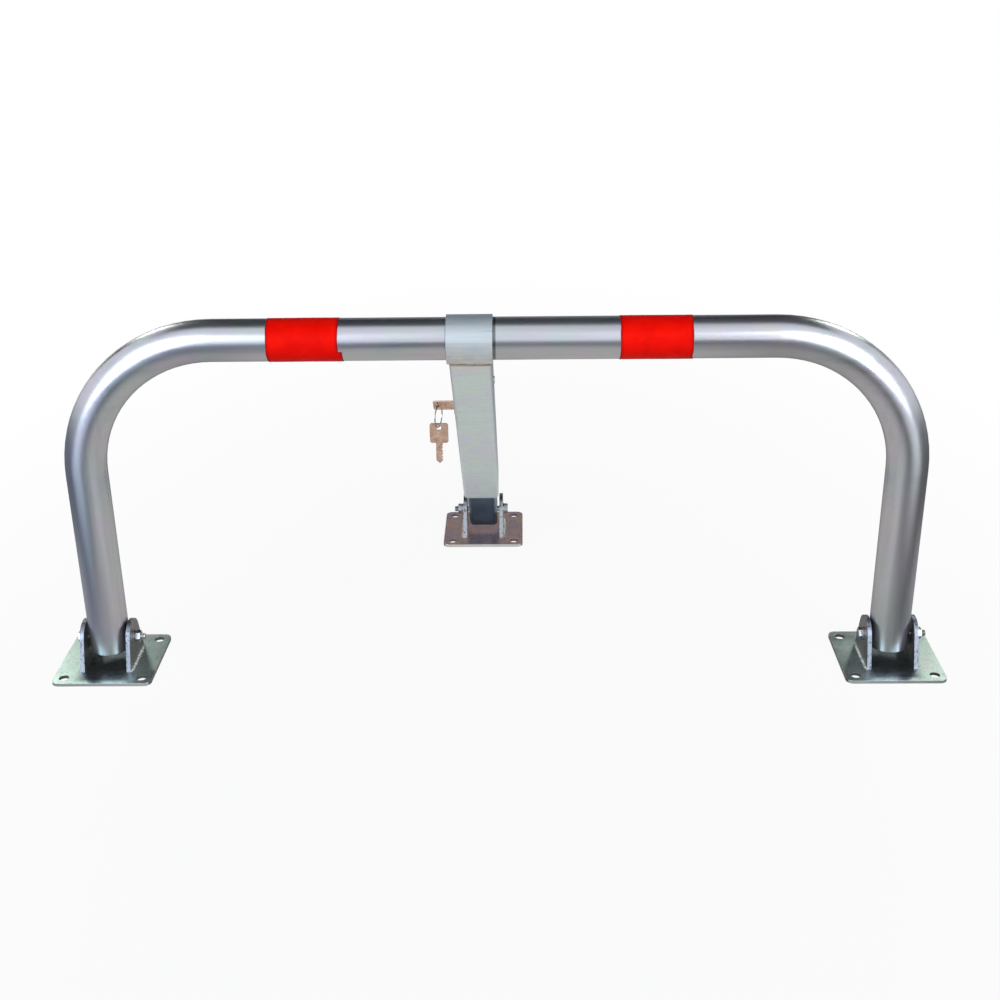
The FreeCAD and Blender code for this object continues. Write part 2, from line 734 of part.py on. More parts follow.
def lock_pieces():
    """Cam lock in the sleeve's left wall, with a key in it."""
    pieces = [lock_barrel(), lock_nut(), lock_plug(), lock_wafers(), lock_cam(), cam_screw()]
    for item in pieces:
        at_lock(item)
    key = place(flat_key("lock_key"), "-strut_offset - plug_face", "lock_y", "lock_z", LOCK_STANCE)
    return pieces + [key]


def flat_key(label):
    """Flat key: bow above its shoulder on local Z, cut blade below, thickness along Y."""
    thickness = value("key_thickness")
    near = -thickness / 2
    half_blade = value("blade_width") / 2
    half_mouth = value("cut_mouth") / 2
    half_floor = value("cut_floor") / 2
    width, length = value("bow_width"), value("bow_length")
    root = length / 2
    outline = [Vector(half_blade, near, root)]
    for number, depth in enumerate(KEY_CUT_DEPTHS):
        level = -value("first_cut") - number * value("cut_pitch")
        outline.append(Vector(half_blade, near, level + half_mouth))
        outline.append(Vector(half_blade - depth, near, level + half_floor))
        outline.append(Vector(half_blade - depth, near, level - half_floor))
        outline.append(Vector(half_blade, near, level - half_mouth))
    tip = -value("blade_length")
    outline.append(Vector(0, near, tip))
    outline.append(Vector(-half_blade, near, tip + value("blade_tip")))
    outline.append(Vector(-half_blade, near, root))
    blade = Part.Face(Part.makePolygon(outline + outline[:1])).extrude(Vector(0, thickness, 0))

    bow = Part.makeBox(width, thickness, length, Vector(-width / 2, near, 0))
    corners = [item for item in bow.Edges if abs(item.tangentAt(item.FirstParameter).y) > 0.9]
    bow = bow.makeFillet(value("bow_corner"), corners)
    hole_place = Vector(0, near, value("hole_above_shoulder"))
    hole = Part.makeCylinder(value("bow_hole") / 2, thickness, hole_place, Vector(0, 1, 0))

    key = doc.addObject("Part::Feature", label)
    key.Label = label
    key.Shape = blade.fuse(bow).cut(hole).removeSplitter().Solids[0]
    return key


def key_ring():
    """Ring through the bow of the key in the lock, with the spare key at its lowest point."""
    ring = doc.addObject("Part::Torus", "key_ring")
    ring.Label = "key_ring"
    bind(ring, Radius1="ring_radius", Radius2="ring_wire / 2")
    stance = Rotation(Vector(0, 0, 1), -value("ring_twist")) * ALONG_X
    return place(ring, "hang_x", "hang_y", "ring_z", stance)


def spare_key():
    shoulder = "ring_z - ring_radius - hole_play + spare_key_slack - hole_above_shoulder"
    return place(flat_key("spare_key"), "hang_x", "hang_y", shoulder)


FRONT = ("front_y", "(tube_radius + ear_play)", "plate_side", "anchor_spacing", ALONG_X, 1)
REAR_GAP = "(inner_side / 2 + rear_ear_play)"
REAR = ("rear_y", REAR_GAP, "rear_plate_side", "rear_anchor_spacing", AGAINST_X, -1)

nodes = foot_pieces(Foot("left", ("outer", "inner"), "-half_span", *FRONT))
nodes += foot_pieces(Foot("right", ("inner", "outer"), "half_span", *FRONT))
nodes += foot_pieces(Foot("rear", ("left", "right"), "-strut_offset", *REAR))
nodes.append(hoop_tube())
nodes.append(film_band("left_red_band", "-left_band_place"))
nodes.append(film_band("right_red_band", "right_band_place"))
sleeve = strut_sleeve()
nodes += [collar_ring(), sleeve, collar_welds(sleeve), sleeve_vent_plug(), inner_tube()]
nodes += lock_pieces()
nodes += [key_ring(), spare_key()]
doc.recompute()

for item in doc.Objects:
    if "Invalid" in item.State or "Error" in item.State:
        raise RuntimeError(f"{item.Label} failed: {item.State}")
for node in nodes:
    if node.Shape.isNull() or not node.Shape.isValid():
        raise RuntimeError(f"{node.Label} has no valid shape")

os.makedirs("parts", exist_ok=True)
for node in nodes:
    node.Shape.exportStep(f"parts/{node.Label}.step")
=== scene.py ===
import math

import bmesh
import bpy
import numpy as np
from mathutils import Matrix, Vector
from mathutils.geometry import tessellate_polygon


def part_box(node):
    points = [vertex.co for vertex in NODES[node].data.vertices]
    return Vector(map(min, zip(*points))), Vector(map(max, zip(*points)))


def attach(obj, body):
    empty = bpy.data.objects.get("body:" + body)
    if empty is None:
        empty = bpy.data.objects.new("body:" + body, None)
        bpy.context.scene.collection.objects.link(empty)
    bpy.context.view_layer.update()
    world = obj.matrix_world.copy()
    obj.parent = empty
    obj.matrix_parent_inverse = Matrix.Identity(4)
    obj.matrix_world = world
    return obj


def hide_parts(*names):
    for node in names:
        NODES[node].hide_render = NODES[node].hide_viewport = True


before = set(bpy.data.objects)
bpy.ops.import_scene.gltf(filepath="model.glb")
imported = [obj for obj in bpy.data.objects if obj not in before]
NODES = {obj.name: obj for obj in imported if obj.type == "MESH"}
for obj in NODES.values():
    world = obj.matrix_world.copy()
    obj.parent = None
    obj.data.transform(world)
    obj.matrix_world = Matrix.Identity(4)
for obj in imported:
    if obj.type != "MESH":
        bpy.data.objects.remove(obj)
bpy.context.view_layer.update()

MM = 0.001
CREASE = 35.0
SHARP_CREASE = 30.0
IMAGE_SIDE = 1000
SENSOR = 36.0

# Camera, from the hoop's outline in the photograph: metres, radians and pixels
CAMERA_PLACE = Vector((0.03431, -1.70717, 0.88542))
CAMERA_YAW = -0.0190
CAMERA_PITCH = 0.4154
CAMERA_ROLL = 0.0135
FOCAL_PIXELS = 1419.05

# M8 hinge fasteners
ROUND_STEPS = 72
BOLT_DIAMETER = 8.0 * MM
HEX_FLATS = 13.0 * MM
HEAD_HEIGHT = 5.3 * MM
HEAD_FACE_SHARE = 0.3
THREAD_PITCH = 1.25 * MM
THREAD_DEPTH = 0.62 * MM
THREADED_LENGTH = 16.0 * MM
THREAD_END = 1.5 * THREAD_DEPTH
RINGS_PER_PITCH = 6
NUT_CLEARANCE = 0.02 * MM
COUNTERSINK = 0.5 * MM
CHAMFER_SHARE = 0.95
CHAMFER_SLOPE = math.tan(math.radians(30))

# Weld beads: the leg of the CAD fillets, then the beads' own leg, ripples, section and ends
CAD_WELD_LEG = 4.0 * MM
WELD_LEG = 3.4 * MM
RIPPLE_PITCH = 4.2 * MM
RIPPLE_DEPTH = 0.16
LEAST_RIPPLES = 3
RINGS_PER_RIPPLE = 6
SWELL_RANGE = (0.85, 1.12)
SECTION_POINTS = 7
SECTION_DIP = 0.20
END_SIZE = 0.35
END_GROWTH = 8
BEAD_CREASE = 60.0

# Film bands: the seam lies past the bottom, and the lapped end steps out over TAB_STEP
FILM_THICKNESS = 0.15 * MM
FILM_ROWS = 130
FILM_COLUMNS = 41
FILM_CREASE = 50.0
FILM_SEAM = math.radians(18)
TAB_STEP = math.radians(12)
EDGE_DIRT = 3.0 * MM
EDGE_WOBBLE = 0.35 * MM
WOBBLE_POINTS = 16
PUCKER_HEIGHT = 0.05 * MM
PUCKER_WAVES = ((9, 60), (3, -22), (5, 7))

# Collar tack welds: where the collar meets the strut's front and rear walls
COLLAR_RADIUS = 27.9 * MM
STRUT_LEAN = math.radians(45)
# The beads are real tack welds, made big enough to stand out past the collar's edge, where their speckled
# weld zinc also paints a shade line under the collar
TACK_SIZE = 3.0 * MM
TACK_LIFT = 0.2 * MM

# Keys: bow above the shoulder, blade below it
KEY_THICKNESS = 1.8 * MM
KEY_BEVEL = 0.28 * MM
BEVEL_STEPS = 2
BOW_LENGTH = 26.0 * MM
BOW_WIDTH = 23.0 * MM
BOW_CORNER = 3.0 * MM
BOW_HOLE = 6.0 * MM
HOLE_ABOVE_SHOULDER = 20.0 * MM
BLADE_LENGTH = 27.0 * MM
BLADE_WIDTH = 8.5 * MM
BLADE_TIP = 4.0 * MM
FIRST_CUT = 4.5 * MM
CUT_PITCH = 4.2 * MM
CUT_MOUTH = 3.6 * MM
CUT_FLOOR = 1.4 * MM
CUT_DEPTHS = (0.8 * MM, 1.5 * MM, 0.6 * MM, 1.3 * MM, 1.0 * MM)
GROOVE_PLACE = -1.6 * MM
GROOVE_WIDTH = 1.5 * MM
GROOVE_DEPTH = 0.4 * MM
GROOVE_START = 1.5 * MM
GROOVE_STOP = 1.0 * MM
CORNER_POINTS = 9
HOLE_POINTS = 40

# Split ring
RING_RADIUS = 14.0 * MM
RING_WIRE = 1.6 * MM
RING_TWIST = math.radians(15)
RING_TURNS = 1.94
RING_STEPS = 190
RING_START = 1.1
RING_WIDE = 0.41 * RING_WIRE
RING_FLAT = 0.165 * RING_WIRE
RING_APART = 0.19 * RING_WIRE
CROSSING_SHARES = (0, 0.44, 0.56, 1)
CROSSING_SIDES = (-1, -1, 1, 1)
CORNER_FLAT = 0.6
CORNER_WIDE = 0.8

# Feet: where the front hinges stand, the front edges of the plates, and the painted shade between the ears
HINGE_PLACE = sum(corner.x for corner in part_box("right_foot_plate")) / 2
HINGE_LINE = sum(corner.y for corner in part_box("right_foot_plate")) / 2
FRONT_PLATE_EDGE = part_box("right_foot_plate")[0].y
REAR_PLATE_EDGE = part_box("rear_foot_plate")[0].y
EDGE_START, EDGE_END = 2 * MM, 4 * MM
HINGE_SHADE_HALF = 29 * MM
HINGE_SHADE_FRONT = FRONT_PLATE_EDGE + 6 * MM
HINGE_SHADE_BACK = HINGE_LINE + 20 * MM
HINGE_SHADE_SIDE_FADE, HINGE_SHADE_FRONT_FADE, HINGE_SHADE_BACK_FADE = 6 * MM, 4 * MM, 8 * MM
SHADE_BAND_FADE = 1 * MM

# Collar: its front weld along X, its ends, the band of painted shade on the bar there, and the reach of the
# dirt and painted shade in its joint
COLLAR_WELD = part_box("collar_welds")[0]
COLLAR_LOW, COLLAR_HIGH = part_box("collar_ring")
SHADE_BAND_START = COLLAR_LOW.x - 1.2 * MM
SHADE_BAND_END = COLLAR_HIGH.x + 4.0 * MM
JOINT_DIRT_SHADE_START = COLLAR_RADIUS + 2.2 * MM
JOINT_DIRT_SHADE_END = COLLAR_RADIUS + 4.0 * MM

# Tones of dirt, wear and painted shade
SPECK_TONE = (0.05, 0.05, 0.06, 1.0)
# Painted shade between the front hinge ears
HINGE_SHADE_TONE = (0.05, 0.055, 0.075, 1.0)
# Painted shade on the bar beside the collar
BAR_SHADE_TONE = (0.09, 0.11, 0.12, 1.0)
# Dirt and painted shade in the joint under the collar
JOINT_DIRT_AND_SHADE_TONE = (0.09, 0.09, 0.10, 1.0)
CRYSTAL_TONE = (0.42, 0.44, 0.47, 1.0)
STREAK_TONE = (0.34, 0.35, 0.37, 1.0)
DRAW_LINE_TONE = (0.33, 0.35, 0.39, 1.0)
# Painted shade on the film's underside
UNDERSIDE_SHADE_RED = (0.40, 0.003, 0.003, 1.0)
EDGE_RED = (0.26, 0.004, 0.006, 1.0)

# Noise in the materials: scales per metre, and how lines are drawn out
SPECK_SCALE = 330.0
HINGE_SHADE_SCALE = 90.0
HEAT_SCALE = 70.0
JOINT_DIRT_SHADE_SCALE = 160.0
CRYSTAL_SCALE = 260.0
WEAR_SCALE = 45.0
GRAIN_SCALE = 700.0
TUBE_CLOUD_SCALE = 16.0
DRAW_LINE_SCALE = 110.0
TUBE_WEAR_SCALE = 60.0
TUBE_GRAIN_SCALE = 420.0
DRAWN_OUT = 0.04
STAIN_SCALE = 75.0
HANDLING_SCALE = 420.0
SCRATCH_SCALE = 520.0
SCRATCH_STRETCH = (1, 9, 2)
MOTTLE_SCALE = 60.0
RUB_SCALE = 160.0
RUB_STRETCH = (0.3, 1, 1)
BUBBLE_SCALE = 210.0
WEAVE_SCALE = 3.0

# Surface relief: rounded edges, grain, scratches and bubbles
PLATED_EDGE = 0.5 * MM
PLATED_GRAIN = 0.02 * MM
TUBE_GRAIN = 0.010 * MM
POLISHED_EDGE = 0.25 * MM
SCRATCH_DEPTH = 0.012 * MM
BUBBLE_HEIGHT = 0.05 * MM

# Tube: where the draw lines turn from the legs to the bar, and over what height
TURN_HEIGHT = 0.34
TURN_BLEND = 30 * MM

# Floor: its half width and its drop below the feet, and how it fades from lit to shown white
FLOOR_HALF = 30.0
FLOOR_DROP = 0.2 * MM
FLOOR_GREY = (0.52, 0.52, 0.52, 1.0)
WHITE = (1.0, 1.0, 1.0, 1.0)
LEAST_WHITE = 0.93
WHITE_SHIFT, WHITE_SCALE, WHITE_EDGE = (0.0, 0.55, 0.0), (2.2, 1.1, 1.0), (0.8, 2.4)

# The floor as mirrors see it: a painted light pool in a dark field
POOL_COLOUR = (0.70, 0.66, 0.605, 1.0)
POOL_SHIFT, POOL_SCALE, POOL_EDGE = (0.06, 0.34, 0.0), (2.1, 1.25, 1.0), (0.62, 1.28)
DARK_FIELD = [(0.0, (0.12, 0.14, 0.18)), (1.0, (0.14, 0.13, 0.125))]
DARK_FIELD_HALF = 0.6

# Painted lighter and darker spots on that floor: place, distances where the fading starts and ends, and
# colour
MIRRORED_SPOTS = (
    ((-1.1, -1.0, 0.0), 0.30, 0.58, (0.90, 1.02, 1.20, 1.0)),
    ((1.1, -1.0, 0.0), 0.30, 0.58, (0.95, 0.93, 0.91, 1.0)),
    ((-4.5, 4.5, 0.0), 2.2, 3.6, (0.92, 0.95, 1.0, 1.0)),
    ((4.5, 4.5, 0.0), 2.2, 3.6, (0.92, 0.95, 1.0, 1.0)),
    ((-0.70, -0.06, 0.0), 0.10, 0.28, (0.42, 0.43, 0.46, 1.0)),
    ((0.70, -0.06, 0.0), 0.10, 0.28, (0.40, 0.39, 0.38, 1.0)),
)

# Light from all round, away from what is seen or mirrored
SURROUND_COLOUR = (0.95, 0.97, 1.0, 1.0)
SURROUND_STRENGTH = 0.10
SEEN_RAYS = ("Is Camera Ray", "Is Glossy Ray", "Is Transmission Ray")

# Dark cards: name, corners and shade
SIDE_SHADE = (0.03, 0.03, 0.035)
FLAGS = (
    ("overhead_flag", [(-1.6, -0.28, 2.1), (1.6, -0.28, 2.1), (1.6, 3.2, 2.4), (-1.6, 3.2, 2.4)],
     (0.10, 0.10, 0.115)),
    ("back_flag", [(-0.8, 3.2, 0.0), (0.8, 3.2, 0.0), (0.8, 3.2, 2.4), (-0.8, 3.2, 2.4)],
     (0.66, 0.64, 0.62)),
    ("side_flag", [(-0.8, 3.2, 0.7), (-3.2, 2.0, 0.7), (-3.2, 2.0, 2.5), (-0.8, 3.2, 2.5)], SIDE_SHADE),
    ("side_flag", [(0.8, 3.2, 0.7), (3.2, 2.0, 0.7), (3.2, 2.0, 2.5), (0.8, 3.2, 2.5)], SIDE_SHADE),
)
CLOTH_LIFT = 1.2
CLOTH_ROUGHNESS = 0.9

# Softboxes: name, place, target, width, height, power and colour
SOFTBOXES = (
    ("front_left_softbox", (-2.0, -2.5, 1.3), (0, 0, 0.25), 2.0, 2.4, 72.0, (0.82, 0.90, 1.0)),
    ("front_right_softbox", (2.0, -2.5, 1.3), (0, 0, 0.25), 2.0, 2.4, 72.0, (0.90, 0.95, 1.0)),
    ("back_left_softbox", (-1.43, 1.46, 1.29), (-0.3, 0, 0.1), 0.45, 0.45, 5.2, (0.96, 1.0, 0.86)),
    ("back_right_softbox", (1.43, 1.46, 1.29), (0.3, 0, 0.1), 0.45, 0.45, 6.6, (0.96, 1.0, 0.86)),
)


# Shader helpers

def new_material(name):
    """A material with a Principled shader, and the node tree to build on."""
    material = bpy.data.materials.new(name)
    material.use_nodes = True
    tree = material.node_tree
    tree.nodes.clear()
    output = tree.nodes.new("ShaderNodeOutputMaterial")
    shader = tree.nodes.new("ShaderNodeBsdfPrincipled")
    tree.links.new(shader.outputs["BSDF"], output.inputs["Surface"])
    return material, tree, shader


def node(tree, kind, inputs=None, **settings):
    """A node with its properties set and its inputs set or linked."""
    made = tree.nodes.new("ShaderNode" + kind)
    for name, setting in settings.items():
        setattr(made, name, setting)
    for name, given in (inputs or {}).items():
        if isinstance(given, bpy.types.NodeSocket):
            tree.links.new(given, made.inputs[name])
        else:
            made.inputs[name].default_value = given
    return made


def reckon(tree, operation, *values):
    """The outcome of a Math node."""
    return node(tree, "Math", dict(enumerate(values)), operation=operation).outputs[0]


def product(tree, first, *others):
    """Several shares multiplied."""
    for other in others:
        first = reckon(tree, "MULTIPLY", first, other)
    return first


def part_along(tree, vector, axis):
    """A vector's part along X, Y or Z."""
    return node(tree, "SeparateXYZ", {"Vector": vector}).outputs[axis]


def distance(tree, place, spot):
    """How far a place is from a spot."""
    return node(tree, "VectorMath", {0: place, 1: spot}, operation="DISTANCE").outputs["Value"]


def object_normal(tree):
    """Which way the surface faces, in the object's own axes."""
    return node(tree, "TexCoord").outputs["Normal"]


def object_space(tree, stretch=(1, 1, 1), lean=0.0):
    """Object coordinates in metres, turned about X by lean and then scaled along each axis."""
    coordinates = node(tree, "TexCoord").outputs["Object"]
    turned = node(tree, "Mapping", {"Vector": coordinates, "Rotation": (lean, 0, 0)})
    return node(tree, "Mapping", {"Vector": turned.outputs["Vector"], "Scale": stretch}).outputs["Vector"]


def noise(tree, space, scale, detail=4.0, distortion=0.0):
    """Cloudy noise; scale is per metre."""
    inputs = {"Vector": space, "Scale": scale, "Detail": detail, "Distortion": distortion}
    return node(tree, "TexNoise", inputs).outputs["Fac"]


def spread(tree, source, low, high, start=0.3, end=0.7):
    """The source's range from start to end, spread over low to high."""
    inputs = {"Value": source, "From Min": start, "From Max": end, "To Min": low, "To Max": high}
    return node(tree, "MapRange", inputs).outputs["Result"]


def tones(tree, source, stops):
    """Colours blended along the source's value: stops are (place, (r, g, b))."""
    ramp = node(tree, "ValToRGB", {"Fac": source})
    ramp.color_ramp.interpolation = "EASE"
    points = ramp.color_ramp.elements
    while len(points) < len(stops):
        points.new(0.5)
    for point, (place, colour) in zip(points, stops):
        point.position = place
        point.color = (*colour, 1.0)
    return ramp.outputs["Color"]


def blend(tree, share, first, second):
    """Two colours or values mixed by a share from 0 to 1."""
    mix = node(tree, "Mix", data_type="RGBA", blend_type="MIX")
    for socket, given in ((mix.inputs[0], share), (mix.inputs[6], first), (mix.inputs[7], second)):
        if isinstance(given, bpy.types.NodeSocket):
            tree.links.new(given, socket)
        else:
            socket.default_value = given
    return mix.outputs[2]


def relief(tree, height, depth, normal=None):
    """Normals of a height pattern that is depth deep."""
    inputs = {"Height": height, "Distance": depth, "Strength": 1.0}
    if normal is not None:
        inputs["Normal"] = normal
    return node(tree, "Bump", inputs).outputs["Normal"]


def soft_edges(tree, radius):
    """Normals that round the edges off."""
    return node(tree, "Bevel", {"Radius": radius}, samples=4).outputs["Normal"]


def specks(share):
    """A layer of small dark specks."""
    def layer(tree, colour):
        dirt = noise(tree, object_space(tree), SPECK_SCALE, 3.0)
        return blend(tree, spread(tree, dirt, 0.0, share, 0.54, 0.64), colour, SPECK_TONE)
    return layer


def edge_face_light_and_shade(axis, tone, front=None):
    """A layer of painted light and shade that gives a plate's edge faces their own tone: darker where they
    would stand in shade, such as hole walls, and lighter where they would catch light, such as the front
    edge.

    The axis runs through the plate's thickness; front keeps the layer to the edge there along Y.
    """
    def layer(tree, colour):
        facing = reckon(tree, "ABSOLUTE", part_along(tree, object_normal(tree), axis))
        share = spread(tree, facing, 0.0, 1.0, 0.8, 0.4)
        if front is not None:
            depth = part_along(tree, object_space(tree), "Y")
            near = spread(tree, depth, 1.0, 0.0, front + EDGE_START, front + EDGE_END)
            share = product(tree, share, near)
        return blend(tree, share, colour, (*tone, 1.0))
    return layer


def hinge_shade():
    """A layer of painted shade, dark and patchy, on the front plates between their ears."""
    def layer(tree, colour):
        space = object_space(tree)
        side = reckon(tree, "ABSOLUTE", part_along(tree, space, "X"))
        off = reckon(tree, "ABSOLUTE", reckon(tree, "SUBTRACT", side, HINGE_PLACE))
        depth = part_along(tree, space, "Y")
        share = spread(tree, noise(tree, space, HINGE_SHADE_SCALE), 0.65, 0.90)
        limits = (
            (off, 1.0, 0.0, HINGE_SHADE_HALF, HINGE_SHADE_SIDE_FADE),
            (depth, 1.0, 0.0, HINGE_SHADE_BACK, HINGE_SHADE_BACK_FADE),
            (depth, 0.0, 1.0, HINGE_SHADE_FRONT, HINGE_SHADE_FRONT_FADE))
        for place, before, after, limit, fade in limits:
            share = product(tree, share, spread(tree, place, before, after, limit - fade, limit + fade))
        return blend(tree, share, colour, HINGE_SHADE_TONE)
    return layer


def patches_round(centre, start, end, scale, shares, tone):
    """A patchy layer round a line along X through centre, which fades from start to end away from it."""
    def layer(tree, colour):
        away = distance(tree, object_space(tree, (0, 1, 1)), (0, centre.y, centre.z))
        near = spread(tree, away, 1.0, 0.0, start, end)
        patchy = spread(tree, noise(tree, object_space(tree), scale), *shares)
        return blend(tree, product(tree, near, patchy), colour, tone)
    return layer


def heat_tint(reach, tone):
    """A layer of straw-coloured heat tint by the front weld between collar and strut."""
    return patches_round(COLLAR_WELD, 0.1 * reach, reach, HEAT_SCALE, (0.25, 0.85), (*tone, 1.0))


def joint_dirt_and_shade():
    """A layer of dark dirt and painted shade in the joint round the collar, where the collar's edge shades
    the strut.
    """
    middle = (COLLAR_LOW + COLLAR_HIGH) / 2
    return patches_round(middle, JOINT_DIRT_SHADE_START, JOINT_DIRT_SHADE_END, JOINT_DIRT_SHADE_SCALE, (0.35, 1.0), JOINT_DIRT_AND_SHADE_TONE)


def collar_shade_band(start, end, share):
    """A band of painted shade on the crossbar from start to end along X."""
    def layer(tree, colour):
        across = part_along(tree, object_space(tree), "X")
        off = reckon(tree, "ABSOLUTE", reckon(tree, "SUBTRACT", across, (start + end) / 2))
        half = (end - start) / 2
        return blend(tree, spread(tree, off, share, 0.0, half - SHADE_BAND_FADE, half), colour, BAR_SHADE_TONE)
    return layer


def zinc(name, stops, roughness, cloud, streak=(1, 1, 1), lean=0.0, pitch=90.0, marks=0.16, metallic=1.0,
         layers=()):
    """Zinc-plated steel: cloudy tints, faint crystal patches, drawn streaks and a fine grain."""
    material, tree, shader = new_material(name)
    space = object_space(tree)
    drawn = object_space(tree, streak, lean)
    colour = tones(tree, noise(tree, space, cloud, 5.0, 0.6), stops)
    crystals = node(tree, "TexVoronoi", {"Vector": space, "Scale": CRYSTAL_SCALE}).outputs["Color"]
    patch = node(tree, "SeparateColor", {"Color": crystals}).outputs["Red"]
    colour = blend(tree, spread(tree, patch, 0.0, 0.10, 0.0, 1.0), colour, CRYSTAL_TONE)
    streaks = noise(tree, drawn, pitch, 3.0)
    colour = blend(tree, spread(tree, streaks, 0.0, marks, 0.5, 0.8), colour, STREAK_TONE)
    for layer in layers:
        colour = layer(tree, colour)
    low, high = roughness
    worn = noise(tree, drawn, WEAR_SCALE, 5.0)
    tree.links.new(colour, shader.inputs["Base Color"])
    tree.links.new(spread(tree, worn, low, high), shader.inputs["Roughness"])
    fine = noise(tree, drawn, GRAIN_SCALE, 3.0)
    tree.links.new(relief(tree, fine, PLATED_GRAIN, soft_edges(tree, PLATED_EDGE)), shader.inputs["Normal"])
    shader.inputs["Metallic"].default_value = metallic
    return material


def drawn_tube(name, stops, roughness, layers=()):
    """Bent zinc tube: faint tints, and draw lines that follow the legs low down and the bar above them."""
    material, tree, shader = new_material(name)
    height = part_along(tree, object_space(tree), "Z")
    share = spread(tree, height, 0.0, 1.0, TURN_HEIGHT - TURN_BLEND, TURN_HEIGHT + TURN_BLEND)
    legs, bar = object_space(tree, (1, 1, DRAWN_OUT)), object_space(tree, (DRAWN_OUT, 1, 1))

    def along(scale, detail):
        return blend(tree, share, noise(tree, legs, scale, detail), noise(tree, bar, scale, detail))

    colour = tones(tree, noise(tree, object_space(tree), TUBE_CLOUD_SCALE, 5.0, 0.6), stops)
    lines = spread(tree, along(DRAW_LINE_SCALE, 3.0), 0.0, 0.30, 0.48, 0.70)
    colour = blend(tree, lines, colour, DRAW_LINE_TONE)
    for layer in layers:
        colour = layer(tree, colour)
    low, high = roughness
    tree.links.new(colour, shader.inputs["Base Color"])
    tree.links.new(spread(tree, along(TUBE_WEAR_SCALE, 5.0), low, high), shader.inputs["Roughness"])
    normal = relief(tree, along(TUBE_GRAIN_SCALE, 3.0), TUBE_GRAIN, soft_edges(tree, PLATED_EDGE))
    tree.links.new(normal, shader.inputs["Normal"])
    shader.inputs["Metallic"].default_value = 1.0
    return material


def polished(name, stops, roughness):
    """Turned or stamped metal: faint stains, handling scratches and rubbed edges."""
    material, tree, shader = new_material(name)
    space = object_space(tree)
    stain = noise(tree, space, STAIN_SCALE, 6.0, 1.2)
    low, high = roughness
    tree.links.new(tones(tree, stain, stops), shader.inputs["Base Color"])
    handled = noise(tree, space, HANDLING_SCALE, 5.0)
    tree.links.new(spread(tree, handled, low, high), shader.inputs["Roughness"])
    scratches = noise(tree, object_space(tree, SCRATCH_STRETCH), SCRATCH_SCALE, 2.0)
    normal = relief(tree, scratches, SCRATCH_DEPTH, soft_edges(tree, POLISHED_EDGE))
    tree.links.new(normal, shader.inputs["Normal"])
    shader.inputs["Metallic"].default_value = 1.0
    return material


def film(name):
    """Red plastic film with faint mottling, rub marks, bubbles, and painted shade on its lower side."""
    material, tree, shader = new_material(name)
    space = object_space(tree)
    mottle = noise(tree, space, MOTTLE_SCALE, 6.0, 0.4)
    colour = tones(tree, mottle, [(0.25, (0.86, 0.003, 0.001)), (0.75, (0.98, 0.006, 0.001))])
    # Painted shade: the film darkens towards its underside
    facing = part_along(tree, object_normal(tree), "Z")
    colour = blend(tree, spread(tree, facing, 0.0, 0.3, 0.35, -0.45), colour, UNDERSIDE_SHADE_RED)
    edge = node(tree, "Attribute", attribute_name="edge_dirt").outputs["Fac"]
    colour = blend(tree, spread(tree, edge, 0.0, 0.9, 0.0, 1.0), colour, EDGE_RED)
    tree.links.new(colour, shader.inputs["Base Color"])
    rubbed = noise(tree, object_space(tree, RUB_STRETCH), RUB_SCALE, 5.0)
    tree.links.new(spread(tree, rubbed, 0.34, 0.52), shader.inputs["Roughness"])
    bubbles = noise(tree, space, BUBBLE_SCALE, 2.0)
    tree.links.new(relief(tree, bubbles, BUBBLE_HEIGHT), shader.inputs["Normal"])
    shader.inputs["Specular IOR Level"].default_value = 0.05
    return material


